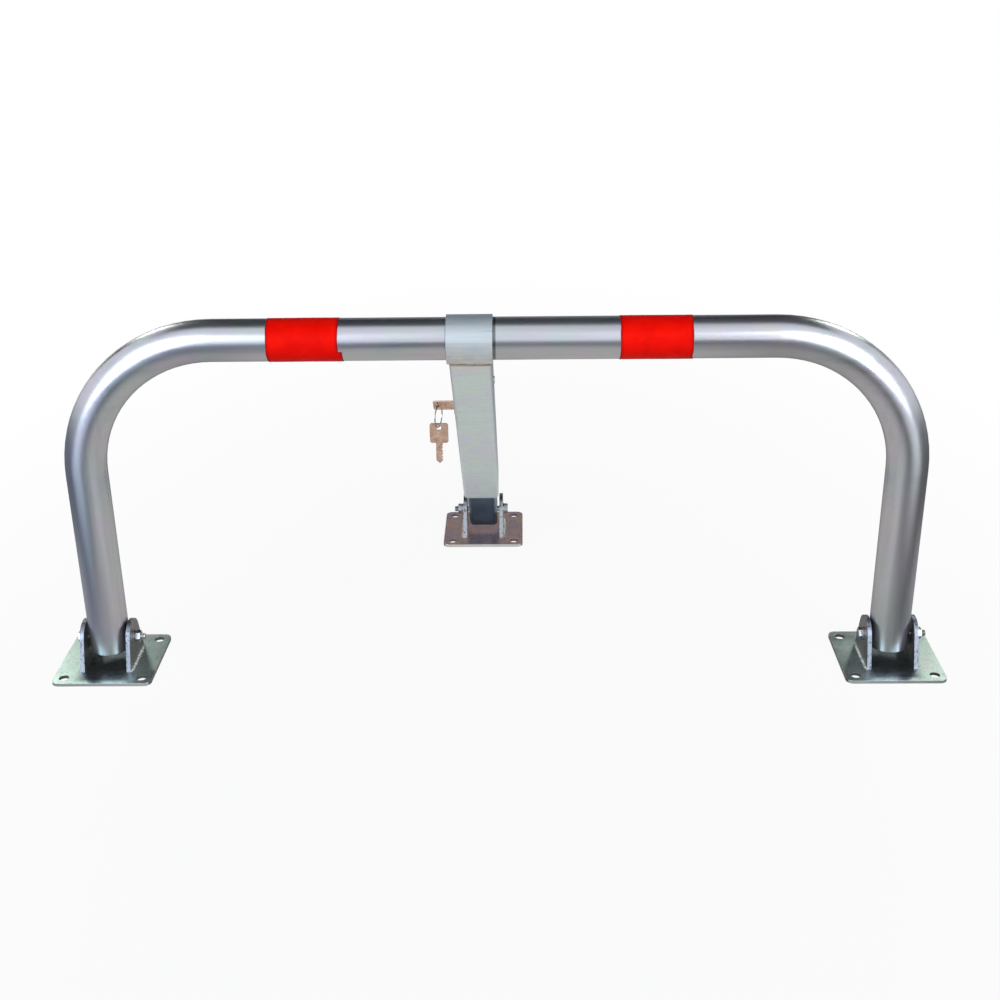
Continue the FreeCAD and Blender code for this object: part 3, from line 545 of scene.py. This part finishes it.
MATERIALS = {
    "hoop_zinc": drawn_tube(
        "hoop_zinc", [(0.25, (0.46, 0.50, 0.60)), (0.42, (0.50, 0.55, 0.58)), (0.58, (0.53, 0.53, 0.61)),
                      (0.75, (0.55, 0.55, 0.56))],
        # A band of painted shade on the bar beside the collar
        (0.25, 0.37), layers=(collar_shade_band(SHADE_BAND_START, SHADE_BAND_END, 0.8),)),
    "foot_zinc": zinc(
        "foot_zinc", [(0.25, (0.48, 0.62, 0.62)), (0.5, (0.55, 0.68, 0.67)), (0.75, (0.60, 0.65, 0.67))],
        (0.30, 0.42), cloud=22.0,
        # Painted light and shade: dark edge faces, a lit front edge, and painted shade between the ears
        layers=(specks(0.25), edge_face_light_and_shade("Z", (0.16, 0.17, 0.17)),
                edge_face_light_and_shade("Z", (0.62, 0.68, 0.68), FRONT_PLATE_EDGE),
                hinge_shade())),
    "ear_zinc": zinc(
        "ear_zinc", [(0.25, (0.20, 0.20, 0.22)), (0.5, (0.27, 0.25, 0.24)), (0.75, (0.30, 0.29, 0.28))],
        # Edge faces in their own tone: painted light and shade
        (0.34, 0.48), cloud=40.0, layers=(edge_face_light_and_shade("X", (0.25, 0.28, 0.34)), specks(0.7))),
    "weld_zinc": zinc(
        "weld_zinc", [(0.3, (0.16, 0.16, 0.17)), (0.5, (0.50, 0.53, 0.55)), (0.7, (0.86, 0.89, 0.91))],
        (0.30, 0.44), cloud=240.0, layers=(specks(0.6),)),
    "rear_foot_zinc": zinc(
        "rear_foot_zinc", [(0.22, (0.70, 0.48, 0.50)), (0.42, (0.87, 0.58, 0.50)),
                           (0.56, (0.70, 0.54, 0.60)), (0.70, (0.92, 0.67, 0.44)),
                           (0.84, (0.79, 0.58, 0.56))],
        (0.30, 0.42), cloud=26.0, streak=(1, 0.08, 1),
        # Painted light and shade: dark edge faces and a lit front edge
        layers=(specks(0.3), edge_face_light_and_shade("Z", (0.20, 0.17, 0.17)),
                edge_face_light_and_shade("Z", (0.66, 0.66, 0.67), REAR_PLATE_EDGE))),
    "rear_ear_zinc": zinc(
        "rear_ear_zinc", [(0.3, (0.40, 0.40, 0.44)), (0.7, (0.50, 0.50, 0.52))],
        # Edge faces in their own tone: painted light and shade
        (0.30, 0.44), cloud=60.0, layers=(edge_face_light_and_shade("X", (0.36, 0.38, 0.42)), specks(0.7))),
    "strut_zinc": zinc(
        "strut_zinc", [(0.28, (0.72, 0.86, 0.94)), (0.44, (0.74, 0.87, 0.88)),
                       (0.56, (0.75, 0.82, 0.94)), (0.74, (0.81, 0.85, 0.84))],
        (0.40, 0.52), cloud=17.0, streak=(0.05, 1, 1), lean=-STRUT_LEAN, pitch=230.0, marks=0.12,
        # Dirt and painted shade in the joint under the collar
        layers=(heat_tint(22 * MM, (0.90, 0.80, 0.66)), joint_dirt_and_shade())),
    "collar_zinc": zinc(
        "collar_zinc", [(0.25, (0.43, 0.51, 0.58)), (0.5, (0.47, 0.53, 0.57)), (0.75, (0.51, 0.51, 0.51))],
        (0.44, 0.56), cloud=30.0, streak=(0.05, 1, 1), pitch=260.0, marks=0.9, metallic=0.55,
        layers=(heat_tint(42 * MM, (0.86, 0.79, 0.70)),)),
    "inner_tube_zinc": zinc(
        "inner_tube_zinc", [(0.25, (0.12, 0.21, 0.31)), (0.5, (0.16, 0.27, 0.37)),
                            (0.75, (0.20, 0.29, 0.37))],
        (0.24, 0.38), cloud=30.0, streak=(0.06, 1, 1), lean=-STRUT_LEAN),
    "fastener_zinc": polished(
        "fastener_zinc", [(0.25, (0.22, 0.24, 0.27)), (0.5, (0.38, 0.40, 0.43)),
                          (0.75, (0.52, 0.53, 0.54))],
        (0.20, 0.34)),
    "lock_steel": polished(
        "lock_steel", [(0.25, (0.50, 0.50, 0.52)), (0.75, (0.66, 0.66, 0.67))], (0.16, 0.30)),
    "key_brass": polished(
        "key_brass", [(0.25, (0.42, 0.27, 0.21)), (0.45, (0.68, 0.475, 0.385)), (0.75, (0.90, 0.66, 0.55))],
        (0.20, 0.36)),
    "ring_steel": polished(
        "ring_steel", [(0.25, (0.22, 0.20, 0.19)), (0.75, (0.42, 0.40, 0.38))], (0.16, 0.30)),
    "red_film": film("red_film"),
}


def dress(item, slot):
    """Give an object the material of a slot."""
    item.data.materials.clear()
    item.data.materials.append(MATERIALS[slot])
    return item


# Mesh helpers

def finish_mesh(name, points, faces, slot, body, crease=CREASE):
    """A smooth-shaded object with sharp creases, made of points and faces, that rides on a body."""
    mesh = bpy.data.meshes.new(name)
    mesh.from_pydata([tuple(point) for point in points], [], faces)
    mesh.validate()
    mesh.shade_smooth()
    mesh.set_sharp_from_angle(angle=math.radians(crease))
    item = bpy.data.objects.new(name, mesh)
    bpy.context.scene.collection.objects.link(item)
    dress(item, slot)
    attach(item, body)
    return item


def skin(rings, loop=False):
    """Points and faces of a closed surface skinned over rings, capped unless it loops."""
    count = len(rings[0])
    points = [point for ring in rings for point in ring]
    faces = []
    for ring in range(len(rings) - 1 + loop):
        near = ring * count
        far = (ring + 1) % len(rings) * count
        for spot in range(count):
            after = (spot + 1) % count
            faces.append((near + spot, near + after, far + after, far + spot))
    if not loop:
        faces.append(tuple(reversed(range(count))))
        faces.append(tuple(range(len(points) - count, len(points))))
    return points, faces


def round_ring(radius, height, turns):
    """Points at a height; radius is a number or one for each of the turns."""
    sizes = np.broadcast_to(radius, turns.shape)
    levels = np.broadcast_to(height, turns.shape)
    return [Vector((r * math.cos(a), r * math.sin(a), z)) for r, a, z in zip(sizes, turns, levels)]


def hexagon_reach(turns, flats):
    """Distance from the axis to a hexagon's outline in each direction."""
    sector = math.pi / 3
    return flats / 2 / np.cos((turns + sector / 2) % sector - sector / 2)


# Hinge fasteners

FINE_TURNS = np.linspace(0, 2 * math.pi, ROUND_STEPS, endpoint=False)


def bolt_rings(length):
    """Hexagon bolt along Z: head below zero, shank above, thread at its end."""
    outline = hexagon_reach(FINE_TURNS, HEX_FLATS)
    inscribed = CHAMFER_SHARE * HEX_FLATS / 2
    shank = BOLT_DIAMETER / 2
    rings = [round_ring(HEAD_FACE_SHARE * inscribed, -HEAD_HEIGHT, FINE_TURNS)]
    rings.append(round_ring(inscribed, -HEAD_HEIGHT, FINE_TURNS))
    rings.append(round_ring(outline, -HEAD_HEIGHT + (outline - inscribed) * CHAMFER_SLOPE, FINE_TURNS))
    rings += [round_ring(outline, 0.0, FINE_TURNS), round_ring(shank, 0.0, FINE_TURNS)]
    start = length - THREADED_LENGTH
    steps = int(THREADED_LENGTH / THREAD_PITCH * RINGS_PER_PITCH)
    for level in np.linspace(start, length - THREAD_DEPTH, steps):
        phase = ((level - start) / THREAD_PITCH + FINE_TURNS / (2 * math.pi)) % 1.0
        rings.append(round_ring(shank - THREAD_DEPTH * np.abs(2 * phase - 1), level, FINE_TURNS))
    rings.append(round_ring(shank - THREAD_END, length, FINE_TURNS))
    return rings


def nut_rings(height):
    """Hexagon nut along Z, both faces chamfered, with a countersunk bore."""
    outline = hexagon_reach(FINE_TURNS, HEX_FLATS)
    inscribed = CHAMFER_SHARE * HEX_FLATS / 2
    drop = (outline - inscribed) * CHAMFER_SLOPE
    bore = BOLT_DIAMETER / 2 + NUT_CLEARANCE
    mouth = bore + COUNTERSINK
    rings = [round_ring(inscribed, 0.0, FINE_TURNS), round_ring(outline, drop, FINE_TURNS)]
    rings += [round_ring(outline, height - drop, FINE_TURNS), round_ring(inscribed, height, FINE_TURNS)]
    rings += [round_ring(mouth, height, FINE_TURNS), round_ring(bore, height - COUNTERSINK, FINE_TURNS)]
    rings += [round_ring(bore, COUNTERSINK, FINE_TURNS), round_ring(mouth, 0.0, FINE_TURNS)]
    return rings


def along_x(rings, place, sign):
    """Rings along Z laid along X from a place, towards +X or -X."""
    turned = Matrix.Translation(place) @ Matrix.Rotation(sign * math.pi / 2, 4, "Y")
    return [[turned @ point for point in ring] for ring in rings]


def hinge_fasteners(foot, sign):
    """Threaded bolt and chamfered nut of one foot; sign is the way that the bolt points along X."""
    low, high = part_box(f"{foot}_pivot_bolt")
    middle = (low + high) / 2
    head = low.x if sign > 0 else high.x
    seat = Vector((head + sign * HEAD_HEIGHT, middle.y, middle.z))
    rings = bolt_rings(high.x - low.x - HEAD_HEIGHT)
    points, faces = skin(along_x(rings, seat, sign))
    bolt = finish_mesh(f"{foot}_threaded_bolt", points, faces, "fastener_zinc", "feet")
    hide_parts(f"{foot}_pivot_bolt")
    low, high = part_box(f"{foot}_pivot_nut")
    seat = Vector((low.x if sign > 0 else high.x, middle.y, middle.z))
    rings = nut_rings(high.x - low.x)
    points, faces = skin(along_x(rings, seat, sign), loop=True)
    nut = finish_mesh(f"{foot}_chamfered_nut", points, faces, "fastener_zinc", "feet")
    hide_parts(f"{foot}_pivot_nut")


# Weld beads

def bead_rings(start, end, out, up, leg, seed):
    """A rippled fillet bead from start to end, between the directions out and up."""
    chance = np.random.default_rng(seed)
    run = end - start
    ripples = max(LEAST_RIPPLES, round(run.length / RIPPLE_PITCH))
    swell = chance.uniform(*SWELL_RANGE, ripples + 2)
    rings = []
    for share in np.linspace(0, 1, ripples * RINGS_PER_RIPPLE + 1):
        passed = share * ripples
        size = leg * np.interp(passed, range(ripples + 2), swell)
        size *= 1 - RIPPLE_DEPTH + RIPPLE_DEPTH * math.sin(math.pi * (passed % 1.0))
        size *= min(1.0, END_SIZE + END_GROWTH * min(share, 1 - share))
        spot = start + run * share
        ring = [spot]
        for angle in np.linspace(0, math.pi / 2, SECTION_POINTS):
            bulge = size * (1 - SECTION_DIP + SECTION_DIP * abs(math.cos(2 * angle)))
            ring.append(spot + out * bulge * math.cos(angle) + up * bulge * math.sin(angle))
        rings.append(ring)
    return rings


def joined_beads(runs, leg, seed):
    """Points and faces of a bead on each side: runs are (side, start, end, out, up)."""
    points, faces = [], []
    for side, start, end, out, up in runs:
        bead_points, bead_faces = skin(bead_rings(start, end, out, up, leg, seed + side))
        faces += [tuple(len(points) + index for index in face) for face in bead_faces]
        points += bead_points
    return points, faces


def foot_welds(foot, seed):
    """Rippled beads along the outside of a foot's two ears."""
    welds = NODES[f"{foot}_foot_welds"]
    low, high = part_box(welds.name)
    runs = []
    for side in (-1, 1):
        root = (low.x if side < 0 else high.x) - side * CAD_WELD_LEG
        start, end = Vector((root, low.y, low.z)), Vector((root, high.y, low.z))
        runs.append((side, start, end, Vector((side, 0, 0)), Vector((0, 0, 1))))
    points, faces = joined_beads(runs, WELD_LEG, seed)
    slot = "rear_foot_zinc" if foot == "rear" else "foot_zinc"
    beads = finish_mesh(f"{foot}_weld_beads", points, faces, slot, "feet", BEAD_CREASE)
    dress(beads, "weld_zinc")
    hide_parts(f"{foot}_foot_welds")


# Film bands

def film_band(node_name, seed, overlap, tab):
    """A strip of film wound once round the crossbar; its lapped end sticks out by tab along X."""
    chance = np.random.default_rng(seed)
    low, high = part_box(node_name)
    middle = (low + high) / 2
    radius = (high.z - low.z) / 2 - FILM_THICKNESS
    turns = np.linspace(0, 2 * math.pi + overlap, FILM_ROWS)
    shares = 0.5 - 0.5 * np.cos(np.linspace(0, math.pi, FILM_COLUMNS))
    wobble = chance.uniform(-EDGE_WOBBLE, EDGE_WOBBLE, (2, WOBBLE_POINTS))
    phases = chance.uniform(0, 2 * math.pi, len(PUCKER_WAVES))
    outer, inner, dirt = [], [], []
    for turn in turns:
        lap = turn / (2 * math.pi)
        lapped = np.interp(turn, (2 * math.pi - TAB_STEP, 2 * math.pi), (0, 1))
        left_wobble, right_wobble = (
            np.interp(lap * (WOBBLE_POINTS - 1), range(WOBBLE_POINTS), edge) for edge in wobble)
        left, right = low.x + left_wobble, high.x + tab * lapped + right_wobble
        angle = -math.pi / 2 - FILM_SEAM - turn
        direction = Vector((0, math.cos(angle), math.sin(angle)))
        for share in shares:
            x = left + (right - left) * share
            dirt.append(max(0.0, 1 - min(x - left, right - x) / EDGE_DIRT))
            first, second, third = (
                math.sin(around * turn + along * share + phase)
                for (around, along), phase in zip(PUCKER_WAVES, phases))
            level = radius + FILM_THICKNESS * lap + PUCKER_HEIGHT * (first * second + third)
            axis = Vector((x, middle.y, middle.z))
            outer.append(axis + direction * (level + FILM_THICKNESS))
            inner.append(axis + direction * level)
    wide, points = len(shares), outer + inner
    back = len(outer)
    faces = []
    for row in range(len(turns) - 1):
        for column in range(wide - 1):
            corner = row * wide + column
            quad = (corner, corner + 1, corner + wide + 1, corner + wide)
            faces.append(quad)
            faces.append(tuple(back + index for index in reversed(quad)))
        for edge in (row * wide, row * wide + wide - 1):
            faces.append((edge, edge + wide, back + edge + wide, back + edge))
    for row in (0, (len(turns) - 1) * wide):
        for column in range(wide - 1):
            edge = row + column
            faces.append((edge, edge + 1, back + edge + 1, back + edge))
    band = finish_mesh(node_name.replace("band", "film"), points, faces, "red_film", "hoop", FILM_CREASE)
    band.data.attributes.new("edge_dirt", "FLOAT", "POINT").data.foreach_set("value", dirt + dirt)
    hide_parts(node_name)


# Collar tack welds

def collar_tacks(seed):
    """Short lumpy beads in the corners between the collar and the strut's front and rear walls."""
    low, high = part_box("collar_welds")
    collar_low, collar_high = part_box("collar_ring")
    axis = (collar_low + collar_high) / 2
    down_strut = Vector((0, math.sin(STRUT_LEAN), -math.cos(STRUT_LEAN)))
    runs = []
    for corner_y, corner_z, side in ((low.y, low.z, -1), (high.y, high.z, 1)):
        away = Vector((0, corner_y - axis.y, corner_z - axis.z)).normalized()
        root = Vector((0, axis.y, axis.z)) + away * (COLLAR_RADIUS + TACK_LIFT)
        along_collar = side * Vector((0, -away.z, away.y))
        start, end = root + Vector((low.x, 0, 0)), root + Vector((high.x, 0, 0))
        runs.append((side, start, end, along_collar, down_strut))
    points, faces = joined_beads(runs, TACK_SIZE, seed)
    beads = finish_mesh("collar_tack_beads", points, faces, "strut_zinc", "sleeve", BEAD_CREASE)
    # The speckled weld zinc also paints the shade line under the collar's edge
    dress(beads, "weld_zinc")
    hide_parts("collar_welds")


# Keys and their ring

def arc_points(centre_x, centre_z, radius, start, end, count):
    """Points of an arc in X and Z, from start to end in degrees."""
    turns = np.linspace(math.radians(start), math.radians(end), count)
    return [(centre_x + radius * math.cos(turn), centre_z + radius * math.sin(turn)) for turn in turns]


def key_outline():
    """Outline of a key in its own X and Z: cut blade below the shoulder, rounded bow above."""
    half = BLADE_WIDTH / 2
    outline = [(-half, -BLADE_LENGTH + BLADE_TIP), (0.0, -BLADE_LENGTH)]
    for number in reversed(range(len(CUT_DEPTHS))):
        level = -FIRST_CUT - number * CUT_PITCH
        floor = half - CUT_DEPTHS[number]
        outline += [(half, level - CUT_MOUTH / 2), (floor, level - CUT_FLOOR / 2)]
        outline += [(floor, level + CUT_FLOOR / 2), (half, level + CUT_MOUTH / 2)]
    outline.append((half, 0.0))
    side, top, bottom = BOW_WIDTH / 2 - BOW_CORNER, BOW_LENGTH - BOW_CORNER, BOW_CORNER
    corners = ((side, bottom, -90), (side, top, 0), (-side, top, 90), (-side, bottom, 180))
    for x, z, start in corners:
        outline += arc_points(x, z, BOW_CORNER, start, start + 90, CORNER_POINTS)
    outline.append((-half, 0.0))
    return outline


def groove_outline():
    """Outline of the milled groove along a key's blade."""
    reach = GROOVE_WIDTH / 2
    top, bottom = -GROOVE_START, -BLADE_LENGTH + BLADE_TIP + GROOVE_STOP
    return (arc_points(GROOVE_PLACE, top, reach, 0, 180, CORNER_POINTS)
            + arc_points(GROOVE_PLACE, bottom, reach, 180, 360, CORNER_POINTS))


def key_mesh(name, node_name, body, stance):
    """A flat key with rounded edges, a drilled bow and a milled groove in each side of the blade."""
    outline = key_outline()
    hole = arc_points(0.0, HOLE_ABOVE_SHOULDER, BOW_HOLE / 2, 360, 0, HOLE_POINTS + 1)[:-1]
    groove = list(reversed(groove_outline()))
    loops = [outline, hole, groove]
    flat = [point for loop in loops for point in loop]
    face = KEY_THICKNESS / 2
    points = [Vector((x, -face, z)) for x, z in flat] + [Vector((x, face, z)) for x, z in flat]
    count = len(flat)
    cap = tessellate_polygon([[Vector((x, z, 0)) for x, z in loop] for loop in loops])
    faces = [tuple(triangle) for triangle in cap]
    faces += [tuple(count + index for index in reversed(triangle)) for triangle in cap]
    first = 0
    for loop in (outline, hole):
        size = len(loop)
        for spot in range(size):
            after = (spot + 1) % size
            faces.append((first + spot, first + after, count + first + after, count + first + spot))
        first += size
    for level, rim in ((-face + GROOVE_DEPTH, first), (face - GROOVE_DEPTH, count + first)):
        floor = len(points)
        points += [Vector((x, level, z)) for x, z in groove]
        size = len(groove)
        for spot in range(size):
            after = (spot + 1) % size
            faces.append((rim + spot, rim + after, floor + after, floor + spot))
        faces.append(tuple(range(floor, floor + size)))
    key = finish_mesh(name, [stance @ point for point in points], faces, "key_brass", body, SHARP_CREASE)
    shell = bmesh.new()
    shell.from_mesh(key.data)
    bmesh.ops.recalc_face_normals(shell, faces=shell.faces)
    shell.to_mesh(key.data)
    shell.free()
    rounding = key.modifiers.new("rounded_edges", "BEVEL")
    rounding.width = KEY_BEVEL
    rounding.segments = BEVEL_STEPS
    rounding.limit_method = "ANGLE"
    rounding.angle_limit = math.radians(SHARP_CREASE)
    rounding.harden_normals = True
    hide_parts(node_name)


def keys():
    """The key in the lock, which lies along X, and the spare key, which hangs."""
    low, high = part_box("lock_key")
    middle = (low + high) / 2
    laid = Matrix.Rotation(-math.pi / 2, 4, "Y") @ Matrix.Rotation(math.pi, 4, "Z")
    turn = Matrix.Rotation(STRUT_LEAN, 4, "X") @ laid
    shoulder = Vector((low.x + BOW_LENGTH, middle.y, middle.z))
    key_mesh("cut_lock_key", "lock_key", "lock_core", Matrix.Translation(shoulder) @ turn)
    low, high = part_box("spare_key")
    middle = (low + high) / 2
    shoulder = Vector((middle.x, middle.y, low.z + BLADE_LENGTH))
    key_mesh("cut_spare_key", "spare_key", "hanging_key", Matrix.Translation(shoulder))


def split_ring():
    """Flat wire wound almost twice round, its turns side by side."""
    low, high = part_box("key_ring")
    middle = (low + high) / 2
    axis = Vector((math.cos(RING_TWIST), -math.sin(RING_TWIST), 0))
    level = Vector((math.sin(RING_TWIST), math.cos(RING_TWIST), 0))
    up = Vector((0, 0, 1))
    wide, flat = RING_WIDE, RING_FLAT
    near_flat, near_wide = CORNER_FLAT * flat, CORNER_WIDE * wide
    section = [(wide, -near_flat), (wide, near_flat), (near_wide, flat), (-near_wide, flat)]
    section += [(-wide, near_flat), (-wide, -near_flat), (-near_wide, -flat), (near_wide, -flat)]
    rings = []
    for share in np.linspace(0, 1, RING_STEPS):
        turn = 2 * math.pi * RING_TURNS * share + RING_START
        outward = level * math.cos(turn) + up * math.sin(turn)
        offset = RING_APART * np.interp(share, CROSSING_SHARES, CROSSING_SIDES)
        centre = middle + axis * offset
        rings.append([centre + outward * (RING_RADIUS + across) + axis * depth
                      for across, depth in section])
    ring = finish_mesh("split_ring", *skin(rings), "ring_steel", "ring", SHARP_CREASE)
    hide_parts("key_ring")


# Material slots of the CAD nodes, apart from the feet's
NODE_SLOTS = {
    "hoop_tube": "hoop_zinc",
    "collar_ring": "collar_zinc",
    "strut_sleeve": "strut_zinc",
    "collar_welds": "strut_zinc",
    "sleeve_vent_plug": "fastener_zinc",
    "inner_tube": "inner_tube_zinc",
    "lock_barrel": "lock_steel",
    "lock_nut": "lock_steel",
    "lock_plug": "lock_steel",
    "lock_wafers": "lock_steel",
    "lock_cam": "lock_steel",
    "cam_screw": "fastener_zinc",
    "lock_key": "key_brass",
    "spare_key": "key_brass",
    "key_ring": "ring_steel",
    "left_red_band": "red_film",
    "right_red_band": "red_film",
}


def node_slot(name):
    """The material slot of a CAD node."""
    if name in NODE_SLOTS:
        return NODE_SLOTS[name]
    if "_pivot_" in name:
        return "fastener_zinc"
    place = "rear_" if name.startswith("rear_") else ""
    return place + ("ear_zinc" if name.endswith("_ear") else "foot_zinc")


for name, item in NODES.items():
    dress(item, node_slot(name))

for foot, sign, seed in (("left", 1, 10), ("right", 1, 20), ("rear", -1, 30)):
    hinge_fasteners(foot, sign)
    foot_welds(foot, seed)
film_band("left_red_band", seed=41, overlap=math.radians(53), tab=4.5 * MM)
film_band("right_red_band", seed=42, overlap=math.radians(18), tab=0.6 * MM)
collar_tacks(seed=50)
keys()
split_ring()


# Floor, light and camera

def ray_share(tree, *outputs):
    """1 for rays of the named kinds, and 0 for the rest."""
    path = node(tree, "LightPath")
    share = path.outputs[outputs[0]]
    for name in outputs[1:]:
        share = reckon(tree, "MAXIMUM", share, path.outputs[name])
    return share


def make_floor():
    """A wide pale floor that shows white, with the object's shadow kept on it."""
    mesh = bpy.data.meshes.new("floor")
    corners = [(FLOOR_HALF * x, FLOOR_HALF * y, 0) for x, y in ((-1, -1), (1, -1), (1, 1), (-1, 1))]
    mesh.from_pydata(corners, [], [(0, 1, 2, 3)])
    floor = bpy.data.objects.new("floor", mesh)
    bpy.context.scene.collection.objects.link(floor)
    floor.location.z = -FLOOR_DROP
    material = bpy.data.materials.new("pale_floor")
    material.use_nodes = True
    tree = material.node_tree
    tree.nodes.clear()
    output = tree.nodes.new("ShaderNodeOutputMaterial")
    matte = node(tree, "BsdfDiffuse", {"Color": FLOOR_GREY})
    ground = node(tree, "TexCoord").outputs["Object"]

    def from_middle(shift, scale):
        moved = node(tree, "Mapping", {"Vector": ground, "Location": shift, "Scale": scale})
        return node(tree, "VectorMath", {0: moved.outputs["Vector"]}, operation="LENGTH").outputs["Value"]

    across = spread(tree, part_along(tree, ground, "X"), 0.0, 1.0, -DARK_FIELD_HALF, DARK_FIELD_HALF)
    outside = spread(tree, from_middle(POOL_SHIFT, POOL_SCALE), 0.0, 1.0, *POOL_EDGE)
    mirrored = blend(tree, outside, POOL_COLOUR, tones(tree, across, DARK_FIELD))
    for spot, start, end, colour in MIRRORED_SPOTS:
        near = spread(tree, distance(tree, ground, spot), 1.0, 0.0, start, end)
        mirrored = blend(tree, near, mirrored, colour)
    shown = blend(tree, ray_share(tree, "Is Glossy Ray"), WHITE, mirrored)
    glow = node(tree, "Emission", {"Color": shown, "Strength": 1.0})
    far = spread(tree, from_middle(WHITE_SHIFT, WHITE_SCALE), LEAST_WHITE, 1.0, *WHITE_EDGE)
    share = product(tree, ray_share(tree, *SEEN_RAYS), far)
    mix = node(tree, "MixShader", {0: share, 1: matte.outputs[0], 2: glow.outputs[0]})
    tree.links.new(mix.outputs[0], output.inputs["Surface"])
    mesh.materials.append(material)


def make_world():
    """White where it is seen or mirrored, and a faint cool light elsewhere."""
    world = bpy.data.worlds.new("studio")
    bpy.context.scene.world = world
    world.use_nodes = True
    tree = world.node_tree
    tree.nodes.clear()
    output = tree.nodes.new("ShaderNodeOutputWorld")
    light = node(tree, "Background", {"Color": SURROUND_COLOUR, "Strength": SURROUND_STRENGTH})
    seen = node(tree, "Background", {"Color": WHITE, "Strength": 1.0})
    share = ray_share(tree, *SEEN_RAYS)
    mix = node(tree, "MixShader", {0: share, 1: light.outputs[0], 2: seen.outputs[0]})
    tree.links.new(mix.outputs[0], output.inputs["Surface"])


def make_flag(name, corners, shade):
    """A dark card that only mirrors see."""
    mesh = bpy.data.meshes.new(name)
    mesh.from_pydata(corners, [], [(0, 1, 2, 3)])
    card = bpy.data.objects.new(name, mesh)
    bpy.context.scene.collection.objects.link(card)
    material, tree, shader = new_material(name + "_cloth")
    weave = noise(tree, object_space(tree), WEAVE_SCALE)
    lifted = tuple(CLOTH_LIFT * part for part in shade)
    tree.links.new(tones(tree, weave, [(0.3, shade), (0.7, lifted)]), shader.inputs["Base Color"])
    shader.inputs["Roughness"].default_value = CLOTH_ROUGHNESS
    mesh.materials.append(material)
    card.visible_camera = False
    card.visible_diffuse = False
    card.visible_shadow = False
    card.visible_transmission = False


def make_softbox(name, place, target, width, height, power, colour):
    """A lamp with a wide face, aimed at a target."""
    lamp = bpy.data.lights.new(name, "AREA")
    lamp.shape = "RECTANGLE"
    lamp.size = width
    lamp.size_y = height
    lamp.energy = power
    lamp.color = colour
    holder = bpy.data.objects.new(name, lamp)
    bpy.context.scene.collection.objects.link(holder)
    holder.location = place
    holder.rotation_euler = (Vector(target) - Vector(place)).to_track_quat("-Z", "Y").to_euler()


def make_camera():
    """The photograph's camera: a level line of sight turned by yaw, pitch and roll."""
    level = math.cos(CAMERA_PITCH)
    ahead = Vector((math.sin(CAMERA_YAW) * level, math.cos(CAMERA_YAW) * level, -math.sin(CAMERA_PITCH)))
    right = Vector((math.cos(CAMERA_YAW), -math.sin(CAMERA_YAW), 0))
    down = ahead.cross(right)
    image_right = math.cos(CAMERA_ROLL) * right + math.sin(CAMERA_ROLL) * down
    image_up = math.sin(CAMERA_ROLL) * right - math.cos(CAMERA_ROLL) * down
    lens = bpy.data.cameras.new("camera")
    lens.sensor_width = SENSOR
    lens.lens = FOCAL_PIXELS * SENSOR / IMAGE_SIDE
    holder = bpy.data.objects.new("camera", lens)
    bpy.context.scene.collection.objects.link(holder)
    turn = Matrix((image_right, image_up, -ahead)).transposed()
    holder.matrix_world = Matrix.Translation(CAMERA_PLACE) @ turn.to_4x4()
    bpy.context.scene.camera = holder


make_floor()
make_world()
for flag in FLAGS:
    make_flag(*flag)
for softbox in SOFTBOXES:
    make_softbox(*softbox)
make_camera()
bpy.context.scene.view_settings.view_transform = "Standard"
